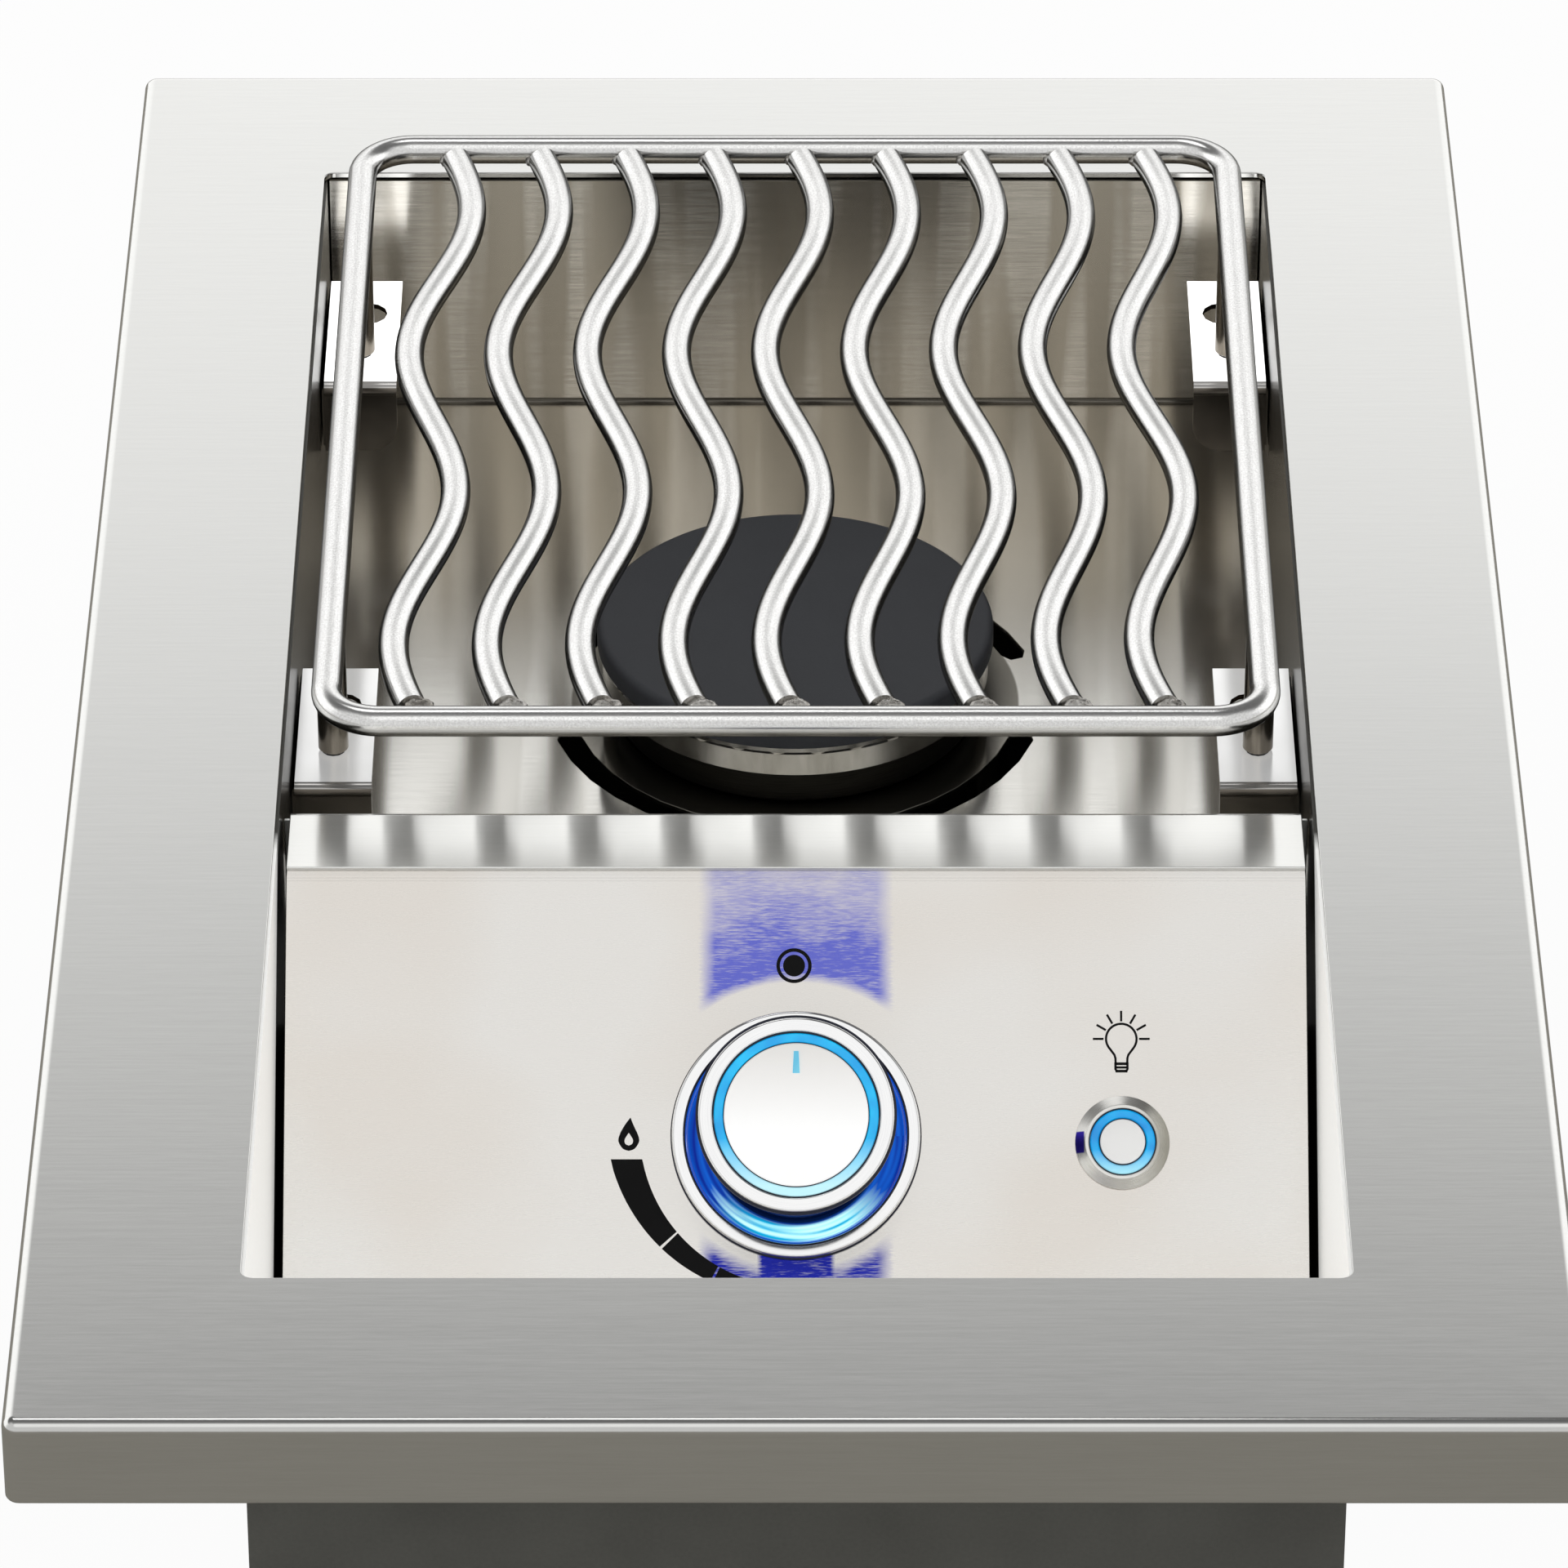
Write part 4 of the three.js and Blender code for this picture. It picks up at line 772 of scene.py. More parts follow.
def glowing_panel():
    """Warm brushed stainless with a painted patch of the knob's blue light above and below the bezel."""
    made, tree, surface, tone = brushed_sheet(
        "warm_brushed_stainless", "#eae8e4", "#e8e5e1", 0.27, 0.01, (4, 0.14, 0.14), 0.00003,
        clouds="#fbf8f5", anisotropy=0.7,
    )
    space = add(tree, "TexCoord").outputs["Object"]
    spot = local_spot(tree, space, KNOB)
    side = add(tree, "Math", {0: spot["X"]}, operation="ABSOLUTE").outputs[0]
    reach = reach_from(tree, spot)
    upper = add(
        tree, "MapRange", {"Value": spot["Y"], "From Min": 0.0, "From Max": MM}
    ).outputs["Result"]
    stripe = sized_noise(tree, space, (3.2, 0.32, 0.32), detail=2.0, roughness=0.55)
    patch = sized_noise(tree, space, (13, 9, 9), detail=1.5)
    strayed = add(tree, "Math", {0: stripe, 1: 3.4 * MM, 2: side}, operation="MULTIPLY_ADD").outputs[0]
    across = add(
        tree,
        "MapRange",
        {
            "Value": strayed,
            "From Min": GLOW_HALF - 4 * MM,
            "From Max": GLOW_HALF,
            "To Min": 1.0,
            "To Max": 0.0,
        },
    ).outputs["Result"]
    # The painted light starts some way from the bezel: above it, beside it and close under its middle.
    above = add(
        tree, "MapRange", {"Value": reach, "From Min": 39.5 * MM, "From Max": GLOW_START}
    ).outputs["Result"]
    middle = add(
        tree,
        "MapRange",
        {"Value": side, "From Min": 8.5 * MM, "From Max": 10 * MM, "To Min": 1.0, "To Max": 0.0},
    ).outputs["Result"]
    beside = add(
        tree,
        "MapRange",
        {"Value": reach, "From Min": 34 * MM, "From Max": 38 * MM, "To Min": 0.0, "To Max": 0.85},
    ).outputs["Result"]
    below = add(
        tree,
        "Mix",
        {
            0: middle,
            2: beside,
            3: add(
                tree, "MapRange", {"Value": reach, "From Min": 31 * MM, "From Max": 32 * MM}
            ).outputs["Result"],
        },
        data_type="FLOAT",
    ).outputs[0]
    hole = add(tree, "Mix", {0: upper, 2: below, 3: above}, data_type="FLOAT").outputs[0]
    fading = add(
        tree,
        "MapRange",
        {"Value": reach, "From Min": 42 * MM, "From Max": GLOW_END, "To Min": 1.0, "To Max": 0.38},
    ).outputs["Result"]
    strength = add(
        tree,
        "MapRange",
        {"Value": stripe, "From Min": 0.3, "From Max": 0.62, "To Min": 0.5, "To Max": 1.0},
    ).outputs["Result"]
    cloudy = add(
        tree,
        "MapRange",
        {"Value": patch, "From Min": 0.35, "From Max": 0.6, "To Min": 0.78, "To Max": 1.1},
    ).outputs["Result"]
    share = across
    for factor in (hole, fading, strength, cloudy):
        share = add(tree, "Math", {0: share, 1: factor}, operation="MULTIPLY").outputs[0]
    share = add(tree, "Math", {0: share, 1: 1.45}, operation="MULTIPLY", use_clamp=True).outputs[0]
    # The painted blue light, paler above the knob than below it.
    blue = add(
        tree, "Mix", {0: upper, 6: linear("#2830aa"), 7: linear("#6b71d1")}, data_type="RGBA"
    ).outputs[2]
    feed(
        tree,
        surface,
        Base_Color=add(tree, "Mix", {0: share, 6: tone, 7: blue}, data_type="RGBA").outputs[2],
    )
    # The level flange at the panel's top mirrors what lies in front of it.
    lean_back(
        tree,
        surface,
        add(
            tree,
            "MapRange",
            {"Value": upward(tree), "From Min": 0.72, "From Max": 1.0, "To Min": 0.0, "To Max": -0.9},
        ).outputs["Result"],
    )
    return made


panel_steel = glowing_panel()


def rod_finish():
    """Solid stainless rod, bead blasted after welding: a pale sparkle with lengthwise streaks, and
    painted shade on its underside.
    """
    made, tree, surface = new_finish(
        "blasted_stainless_rod", Metallic=1.0, Specular_Tint=(0.16, 0.16, 0.16, 1)
    )
    grain = sized_noise(
        tree, add(tree, "TexCoord").outputs["Object"], (0.5, 0.5, 0.5), detail=3.0, roughness=0.7
    )
    streaks = sized_noise(
        tree, add(tree, "UVMap", uv_map="lines").outputs["UV"], (9, 0.35, 1), detail=3.0
    )
    both = add(tree, "Mix", {0: 0.3, 6: grain, 7: streaks}, data_type="RGBA").outputs[2]
    tone = toned(tree, both, "#e0dfde", "#f9f9f8", 0.35, 0.65)
    # Painted shade darkens the rod's underside.
    under = add(
        tree,
        "MapRange",
        {"Value": upward(tree), "From Min": -0.35, "From Max": 0.15, "To Min": 1.0, "To Max": 0.0},
    ).outputs["Result"]
    feed(
        tree,
        surface,
        Base_Color=add(
            tree, "Mix", {0: under, 6: tone, 7: linear("#a8a59f")}, data_type="RGBA"
        ).outputs[2],
    )
    feed(
        tree,
        surface,
        Roughness=add(
            tree,
            "MapRange",
            {"Value": both, "From Min": 0.35, "From Max": 0.65, "To Min": 0.24, "To Max": 0.15},
        ).outputs["Result"],
    )
    raised(tree, surface, both, 0.02)
    return made


rod_steel = rod_finish()

# As-welded beads: the same steel left rough, with dark pits.
weld_steel = grained("rough_weld_bead", "#e4e2de", "#8b867e", 0.3, 0.1, 1.0, 1.3, 0.3)


def bracket_finish():
    """Bright annealed sheet: white on top with a painted glow that stands for the sky the rods hide, and
    painted shade on its front lip.
    """
    made, tree, surface = new_finish("bright_annealed_sheet", Roughness=0.16)
    space = add(tree, "TexCoord").outputs["Object"]
    top = add(
        tree, "MapRange", {"Value": upward(tree), "From Min": 0.9, "From Max": 0.97}
    ).outputs["Result"]
    haze = sized_noise(tree, space, (14, 20, 14), detail=2.0)
    white = toned(tree, haze, "#f6f6f5", "#fdfdfd")
    # Painted shade on the front lip, which faces down.
    painted_lip_shade = toned(tree, haze, "#57524b", "#6c665e")
    lit_by(tree, surface, add(tree, "Mix", {0: top, 6: painted_lip_shade, 7: white}, data_type="RGBA").outputs[2])
    feed(
        tree, surface, Metallic=add(tree, "Mix", {0: top, 2: 1.0, 3: 0.6}, data_type="FLOAT").outputs[0]
    )
    # A painted glow on the top, stronger towards the back brackets.
    back = add(
        tree,
        "MapRange",
        {
            "Value": add(tree, "SeparateXYZ", {"Vector": space}).outputs["Y"],
            "From Min": BRACKETS_FRONT,
            "From Max": BRACKETS_BACK,
            "To Min": 0.34,
            "To Max": 1.25,
        },
    ).outputs["Result"]
    feed(
        tree,
        surface,
        Emission_Strength=add(tree, "Mix", {0: top, 2: 0.0, 3: back}, data_type="FLOAT").outputs[0],
    )
    return made


bracket_steel = bracket_finish()


def turned_metal(name, colour, shade, rough, swing, line=(0.2, 14, 1)):
    """Lathe-turned metal with rings round its axis, or drawn metal with lines along it."""
    made, tree, surface = new_finish(name, Metallic=1.0)
    rings = sized_noise(tree, add(tree, "UVMap", uv_map="lines").outputs["UV"], line, detail=3.0)
    feed(tree, surface, Base_Color=toned(tree, rings, shade, colour))
    feed(
        tree,
        surface,
        Roughness=add(
            tree,
            "MapRange",
            {
                "Value": rings,
                "From Min": 0.3,
                "From Max": 0.7,
                "To Min": rough - swing,
                "To Max": rough + swing,
            },
        ).outputs["Result"],
    )
    raised(tree, surface, rings, 0.0008)
    return made


def button_finish():
    """Turned stainless with painted shade to the right, and a painted reflection of the blue light on its
    left rim.
    """
    made = turned_metal("turned_stainless_button", "#f2f1ee", "#dedcd7", 0.3, 0.05)
    tree = made.node_tree
    surface = tree.nodes["Principled BSDF"]
    tone = surface.inputs["Base Color"].links[0].from_socket
    spot = local_spot(tree, add(tree, "TexCoord").outputs["Object"], BUTTON)
    # Painted shade on the right of the flange.
    painted_right_shade = add(
        tree, "MapRange", {"Value": spot["X"], "From Min": 3 * MM, "From Max": 11 * MM}
    ).outputs["Result"]
    tone = add(tree, "Mix", {0: painted_right_shade, 6: tone, 7: linear("#a8a59b")}, data_type="RGBA").outputs[2]
    # A painted reflection of the blue light on the left rim.
    left = add(
        tree,
        "MapRange",
        {
            "Value": spot["X"],
            "From Min": -9.9 * MM,
            "From Max": -9.6 * MM,
            "To Min": 1.0,
            "To Max": 0.0,
        },
    ).outputs["Result"]
    height = add(tree, "Math", {0: spot["Y"]}, operation="ABSOLUTE").outputs[0]
    painted_blue_reflection = add(
        tree,
        "Math",
        {
            0: left,
            1: add(
                tree,
                "MapRange",
                {
                    "Value": height,
                    "From Min": 2.6 * MM,
                    "From Max": 2.9 * MM,
                    "To Min": 1.0,
                    "To Max": 0.0,
                },
            ).outputs["Result"],
        },
        operation="MULTIPLY",
    ).outputs[0]
    feed(
        tree,
        surface,
        Base_Color=add(
            tree, "Mix", {0: painted_blue_reflection, 6: tone, 7: linear("#3a2ca6")}, data_type="RGBA"
        ).outputs[2],
    )
    return made


chrome = turned_metal("polished_chrome", "#f2f2f2", "#e9e9ea", 0.08, 0.02)
# Chrome on the knob's sides, darkened with painted shade so that it shows little but the blue light.
chrome_in_painted_shade = turned_metal("chrome_in_painted_shade", "#3a3d4c", "#2c2e3a", 0.07, 0.02)
# The port ring is drawn stainless with faint upright marks; the pot under it is dark with painted shade.
ring_steel = turned_metal("drawn_port_ring", "#f0ede6", "#cdc9c0", 0.25, 0.03, line=(30, 8, 1))
pot_steel_in_painted_shade = turned_metal("pot_steel_with_painted_shade", "#55534d", "#403e39", 0.44, 0.05)
# The grid's feet are a darker brown steel than the rods.
foot_steel = turned_metal("dark_brown_pin", "#8d867b", "#6f685e", 0.24, 0.04, line=(30, 3, 1))
button_steel = button_finish()

cap_enamel = grained("matte_black_enamel", "#505257", "#42444a", 0.6, 0.1, 0.0, 0.7, 0.03)
case_coat = grained("dark_grey_case_coat", "#5a5a55", "#4f4f4b", 0.5, 0.06, 0.0, 1.2, 0.01)
brass = grained("machined_brass", "#c9a551", "#b08a3c", 0.32, 0.06, 1.0, 0.8, 0.004)
cast_aluminium = grained("sand_cast_aluminium", "#b2b4b6", "#9a9c9e", 0.5, 0.08, 1.0, 1.0, 0.03)
ceramic = grained("glazed_ceramic", "#f1eee5", "#e6e1d5", 0.32, 0.05, 0.0, 0.8, 0.004)
black_plastic = grained("moulded_black_plastic", "#26272a", "#1e1f22", 0.5, 0.06, 0.0, 0.8, 0.01)
black_rubber = grained("moulded_black_rubber", "#1d1e1f", "#151617", 0.8, 0.06, 0.0, 0.8, 0.015)
shade_line_rubber = grained("navy_shade_line_rings", "#0a1430", "#070c20", 0.5, 0.05, 0.0, 0.6, 0.002)
panel_ink = grained(
    "screen_printed_ink", "#121213", "#0b0b0c", 0.6, 0.05, 0.0, 0.4, 0.002, Specular_IOR_Level=0.15
)


def glowing_lens(name, colour, glow, strength, place, pale=None, low=(-18 * MM, -6 * MM)):
    """A moulded light ring lit from behind, paler towards the bottom of its own place."""
    made, tree, surface = new_finish(
        name, Roughness=0.12, Coat_Weight=0.1, Emission_Strength=strength
    )
    space = add(tree, "TexCoord").outputs["Object"]
    uneven = sized_noise(tree, space, (7, 7, 7), detail=1.0)
    tone = toned(tree, uneven, glow, colour, 0.35, 0.65)
    if pale:
        spot = local_spot(tree, space, place)
        tone = add(
            tree,
            "Mix",
            {
                0: add(
                    tree,
                    "MapRange",
                    {
                        "Value": spot["Y"],
                        "From Min": low[0],
                        "From Max": low[1],
                        "To Min": 1.0,
                        "To Max": 0.0,
                    },
                ).outputs["Result"],
                6: tone,
                7: linear(pale),
            },
            data_type="RGBA",
        ).outputs[2]
    lit_by(tree, surface, tone)
    return made


def recess_glow():
    """The blue lining of the bezel: deep blue at the sides, painted shade close to the knob, and a
    painted pool of light at the bottom.
    """
    made, tree, surface = new_finish(
        "lit_blue_recess", Roughness=0.2, Coat_Weight=0.3, Emission_Strength=0.9
    )
    spot = local_spot(tree, add(tree, "TexCoord").outputs["Object"], KNOB)
    reach = reach_from(tree, spot)
    streaks = sized_noise(
        tree, add(tree, "UVMap", uv_map="lines").outputs["UV"], (1.6, 44, 1), detail=1.0
    )
    # The painted pool of light lies a little to the right of straight down, with a streaky edge.
    down = add(tree, "Math", {0: spot["Y"], 1: -1.0}, operation="MULTIPLY").outputs[0]
    angle = add(tree, "Math", {0: spot["X"], 1: down}, operation="ARCTAN2").outputs[0]
    swayed = add(tree, "Math", {0: streaks, 1: 0.7, 2: angle}, operation="MULTIPLY_ADD").outputs[0]
    away = add(
        tree,
        "Math",
        {0: add(tree, "Math", {0: swayed, 1: -0.4}, operation="ADD").outputs[0]},
        operation="ABSOLUTE",
    ).outputs[0]
    pool = add(
        tree,
        "MapRange",
        {"Value": away, "From Min": 0.5, "From Max": 1.0, "To Min": 1.0, "To Max": 0.0},
    ).outputs["Result"]
    band = add(
        tree,
        "Math",
        {
            0: add(
                tree,
                "MapRange",
                {"Value": reach, "From Min": POOL_INSIDE - POOL_FADE, "From Max": POOL_INSIDE},
            ).outputs["Result"],
            1: add(
                tree,
                "MapRange",
                {
                    "Value": reach,
                    "From Min": POOL_OUTSIDE - POOL_FADE / 2,
                    "From Max": POOL_OUTSIDE,
                    "To Min": 1.0,
                    "To Max": 0.0,
                },
            ).outputs["Result"],
        },
        operation="MULTIPLY",
    ).outputs[0]
    cyan = toned(tree, streaks, "#0fa9d6", "#c2fffa", 0.38, 0.55)
    deep = toned(tree, streaks, "#091f84", "#125ac2")
    # Painted shade darkens the deep blue close to the knob.
    inner = add(
        tree,
        "MapRange",
        {"Value": reach, "From Min": 22.0 * MM, "From Max": 22.9 * MM, "To Min": 0.1, "To Max": 1.0},
    ).outputs["Result"]
    shaded = add(tree, "CombineColor", {0: inner, 1: inner, 2: inner}).outputs[0]
    deep = add(
        tree, "Mix", {0: 1.0, 6: deep, 7: shaded}, data_type="RGBA", blend_type="MULTIPLY"
    ).outputs[2]
    lit_by(
        tree,
        surface,
        add(
            tree,
            "Mix",
            {
                0: add(tree, "Math", {0: pool, 1: band}, operation="MULTIPLY").outputs[0],
                6: deep,
                7: cyan,
            },
            data_type="RGBA",
        ).outputs[2],
    )
    return made


cyan_lens = glowing_lens("lit_cyan_lens", "#04bcf4", "#009fe4", 0.4, KNOB, pale="#bff0fa")
button_lens = glowing_lens(
    "lit_button_lens", "#00b0f2", "#008ad8", 0.4, BUTTON, pale="#a6e8fa", low=(-8 * MM, -2 * MM)
)
recess_lens = recess_glow()
blue_mark = glowing_lens("lit_blue_mark", "#7fd4ee", "#62c2e4", 0.3, KNOB)


def white_face(name, place, reach, glow):
    """A satin white moulded cap with a painted glow, and painted shade that greys it towards its top."""
    # A painted glow keeps the cap white.
    made, tree, surface = new_finish(name, Roughness=0.25, Coat_Weight=0.3, Emission_Strength=glow)
    space = add(tree, "TexCoord").outputs["Object"]
    spot = local_spot(tree, space, place)
    # Painted shade greys the cap towards its top.
    shade = add(
        tree, "MapRange", {"Value": spot["Y"], "From Min": -reach * 0.2, "From Max": reach}
    ).outputs["Result"]
    tone = add(
        tree, "Mix", {0: shade, 6: linear("#fcfcfc"), 7: linear("#dddbd8")}, data_type="RGBA"
    ).outputs[2]
    lit_by(tree, surface, tone)
    return made


white_lens = white_face("satin_white_knob_face", KNOB, 18 * MM, 0.36)
white_button = white_face("satin_white_button", BUTTON, 60 * MM, 0.18)


def trim_frame():
    """The folded tray: top, rounded fold, skirt, hem and the return under it."""
    half = trim_high.x
    front, back = trim_low.y, trim_high.y
    top, hem = trim_high.z, trim_low.z
    opening = (half - EDGE_BORDER, front + FRONT_BORDER, back - BACK_BORDER)

    def outer(inset, height):
        corner = max(TRIM_CORNER - inset, 0.15 * MM)
        return rectangle_loop(half - inset, front + inset, back - inset, corner, height)

    def inner(grow, height):
        x, y_front, y_back = opening
        corner = OPENING_CORNER + grow
        return rectangle_loop(x + grow, y_front - grow, y_back + grow, corner, height)

    rows = [inner(0, top - SHEET)]
    for out, height in arc(EASED_EDGE, top - EASED_EDGE, EASED_EDGE, 180, 90, 3):
        rows.append(inner(out, height))
    for inset, height in arc(0, 0, FOLD_RADIUS, 90, 0, 8):
        rows.append(outer(FOLD_RADIUS - inset, top - FOLD_RADIUS + height))
    for inset, height in arc(0, 0, HEM_RADIUS, 0, -90, 4):
        rows.append(outer(HEM_RADIUS - inset, hem + HEM_RADIUS + height))
    rows.append(outer(SKIRT_RETURN, hem))
    rows.append(outer(SKIRT_RETURN, hem + SHEET))
    rows.append(outer(SHEET, hem + SHEET))
    for inset, height in arc(0, 0, FOLD_RADIUS - SHEET, 0, 90, 4):
        rows.append(outer(FOLD_RADIUS - inset, top - FOLD_RADIUS + height))
    piece(
        "folded_trim", [(rows, True, False, 0)], "cabinet", [trim_steel],
        ["trim_frame"], crease=50,
    )


def weld(name, place, size, seed):
    """A small rough bead of weld metal where a rod meets its rail."""
    rows = []
    for i in range(1, WELD_RINGS):
        tilt = math.pi * i / WELD_RINGS
        row = []
        for k in range(WELD_SIDES):
            turn = FULL_TURN * k / WELD_SIDES
            rough = 1 + 0.09 * math.sin(3 * turn + seed * 1.7) * math.sin(2 * tilt + seed)
            rough += 0.06 * math.sin(7 * turn + 5 * tilt + seed * 2.3)
            spot = Vector((
                WELD_REACH * math.sin(tilt) * math.cos(turn),
                WELD_RISE * math.sin(tilt) * math.sin(turn),
                WELD_RISE * math.cos(tilt),
            ))
            row.append(place + spot * rough * size)
        rows.append(row)
    piece(name, [(rows, False, True, 0)], "cooking_grid", [weld_steel], (), crease=60)


def wavy_path(x, front, back, z):
    """The middle line of a wavy rod, from one rail to the other."""
    path = []
    for i in range(ROD_STEPS + 1):
        share = i / ROD_STEPS
        sway = WAVE_HEIGHT * math.sin(FULL_TURN * WAVE_COUNT * share)
        sway -= WAVE_LEAN * math.sin(math.pi * share)
        y = back - (back - front) * share
        if front + ROD_END_GAP <= y <= back - ROD_END_GAP:
            path.append(Vector((x + sway, y, z)))
    return path


def grid():
    """The bent rod frame, the wavy rods, their welds and the feet."""
    z = (rail_low.z + rail_high.z) / 2
    side = rail_high.x - ROD_RADIUS
    front = rail_low.y + ROD_RADIUS
    back = rail_high.y - ROD_RADIUS
    loop = rectangle_loop(side, front, back, GRID_CORNER, z, steps=12)
    piece(
        "bent_rod_frame", [(sweep(loop, ROD_RADIUS, closed=True), True, False, 0)], "cooking_grid",
        [rod_steel], ["grid_frame"],
    )
    pitch = 2 * side / (ROD_COUNT + 1)
    for i in range(ROD_COUNT):
        number = i + 1
        x = (i - (ROD_COUNT - 1) / 2) * pitch
        rod = sweep(wavy_path(x, front, back, z), ROD_RADIUS)
        piece(
            f"wavy_rod_{number}", [(rod, False, True, 0)], "cooking_grid", [rod_steel],
            [f"grid_rod_{number}"],
        )
        place = Vector((x, front + ROD_END_GAP, z + FRONT_WELD_RISE))
        weld(f"weld_front_{number}", place, 1, i)
        place = Vector((x, back - BACK_WELD_GAP, z - BACK_WELD_DROP))
        weld(f"weld_back_{number}", place, BACK_WELD_SIZE, i + ROD_COUNT)
    for name in ("front_left", "front_right", "rear_left", "rear_right"):
        low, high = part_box("grid_foot_" + name)
        place = Matrix.Translation(((low.x + high.x) / 2, (low.y + high.y) / 2, 0))
        shoulder = low.z + FOOT_PIN
        outline = [
            (0, low.z),
            (FOOT_TIP, low.z),
            (FOOT_TIP, shoulder),
            (ROD_RADIUS - FOOT_CHAMFER, shoulder),
            (ROD_RADIUS, shoulder + FOOT_CHAMFER),
            (ROD_RADIUS, z),
            (0, z),
        ]
        turned(
            "foot_" + name, outline, place, "cooking_grid", foot_steel,
            "grid_foot_" + name, ring=False, sides=FOOT_SIDES,
        )


def ported(rows):
    """A turned ring whose top rows, from the fifth on, are cut by small flame ports."""
    sides = len(rows[0])
    pitch = sides // PORT_COUNT
    for row in rows[4:]:
        for k in range(sides):
            if k % pitch in (0, 1):
                row[k] = row[k] - Vector((0, 0, PORT_DEPTH))
    return rows


def burner():
    """The pot, its ported ring and the enamelled cap."""
    low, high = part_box("burner_pot")
    bore = 14 * MM
    neck = 17 * MM
    inside = 46.5 * MM
    outside = 49.5 * MM
    base = high.z - 9.6 * MM
    inner_base = base + 2.5 * MM
    foot_round = 0.5 * MM
    rim_round = 0.4 * MM
    pot = [
        (bore, low.z),
        (neck, low.z),
        (neck, base),
        (outside - foot_round, base),
        *arc(outside - foot_round, base + foot_round, foot_round, -90, 0, 3),
        *arc(outside - rim_round, high.z - rim_round, rim_round, 0, 90, 3),
        (inside, high.z),
        (inside, inner_base),
        (bore, inner_base),
    ]
    turned("turned_pot", pot, BURNER, "cabinet", pot_steel_in_painted_shade, "burner_pot")

    low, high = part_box("burner_port_ring")
    outside = high.x - BURNER.translation.x
    inside = outside - 5 * MM
    chamfer = 0.8 * MM
    shoulder = high.z - 2.4 * MM
    port_foot = high.z - 2.1 * MM
    ring = [
        (inside, low.z),
        (outside - chamfer, low.z),
        (outside, low.z + chamfer),
        (outside - 0.3 * MM, shoulder),
        (outside - 0.9 * MM, port_foot),
        (outside - 1.6 * MM, high.z),
        (inside, high.z),
    ]
    piece(
        "ported_ring", [(ported(lathe(ring, BURNER, RING_SIDES)), True, False, 0)], "cabinet",
        [ring_steel], ["burner_port_ring"],
    )

    radius = cap_high.x - BURNER.translation.x
    top = cap_high.z
    under = top - 6.5 * MM
    hollow = top - 3.25 * MM
    spigot_inside = 43.5 * MM
    spigot = 47.5 * MM
    edge_round = 0.6 * MM
    top_round = 2.2 * MM
    cap = [
        (0, hollow),
        (spigot_inside, hollow),
        (spigot_inside, cap_low.z),
        (spigot, cap_low.z),
        (spigot, under),
        (radius - edge_round, under),
        *arc(radius - edge_round, under + edge_round, edge_round, -90, 0, 4),
        *arc(radius - top_round, top - top_round, top_round, 0, 90, 8),
        (radius * 0.6, top),
        (0, top),
    ]
    turned(
        "enamelled_cap", cap, BURNER, "burner_cap", cap_enamel, "burner_cap",
        ring=False, sides=CAP_SIDES, crease=60,
    )


def in_metres(outline):
    """An outline in millimetres turned into metres."""
    return [(x * MM, y * MM) for x, y in outline]


def shade_rings(name, place, rings, body):
    """Thin dark rings of painted shade in the gaps, each from its inner radius, outer radius, foot and
    top.
    """
    surfaces = []
    for inner, outer, foot, top in rings:
        outline = in_metres([(inner, foot), (outer, foot), (outer, top), (inner, top)])
        surfaces.append((lathe(outline, place), True, False, 0))
    piece(name, surfaces, body, [shade_line_rubber], ())


def dome(radius, height, rise, steps):
    """A shallow dome's outline, from its edge to its axis."""
    points = []
    for i in range(1, steps + 1):
        share = i / steps
        points.append((radius * (1 - share), height + rise * (1 - (1 - share) ** 2)))
    return points


def bezel():
    """The chrome bezel and the blue light ring sunk in it."""
    bore = 9
    inside = 28
    wall = 28.3
    lip = 31.6
    floor = -8.5
    bottom = -9.7
    seat = 0.3
    rim = 2.4
    rim_round = 0.7
    outline = [
        (bore, bottom),
        (wall, bottom),
        (wall, seat),
        (lip, seat),
        *arc(lip - rim_round, rim, rim_round, 0, 90, 6),
        *arc(wall + 0.5, rim, rim_round, 90, 170, 6),
        (inside, 0),
        (inside, floor),
        (bore, floor),
    ]
    turned("chrome_bezel", in_metres(outline), KNOB, "cabinet", chrome, "knob_bezel")

    bore = 10.2
    outside = 27.9
    foot = -8.2
    top = -5.2
    lip_top = 0.9
    outline = [
        (bore, foot),
        (outside, foot),
        (outside, lip_top),
        (outside - 0.4, lip_top),
        *arc(26.1, 0.3, 1.2, -20, -80, 5),
        (22.0, -1.9),
        (21.9, top),
        (bore, top),
    ]
    turned(
        "bezel_glow_lining", in_metres(outline), KNOB, "cabinet", recess_lens,
        "bezel_light_ring",
    )


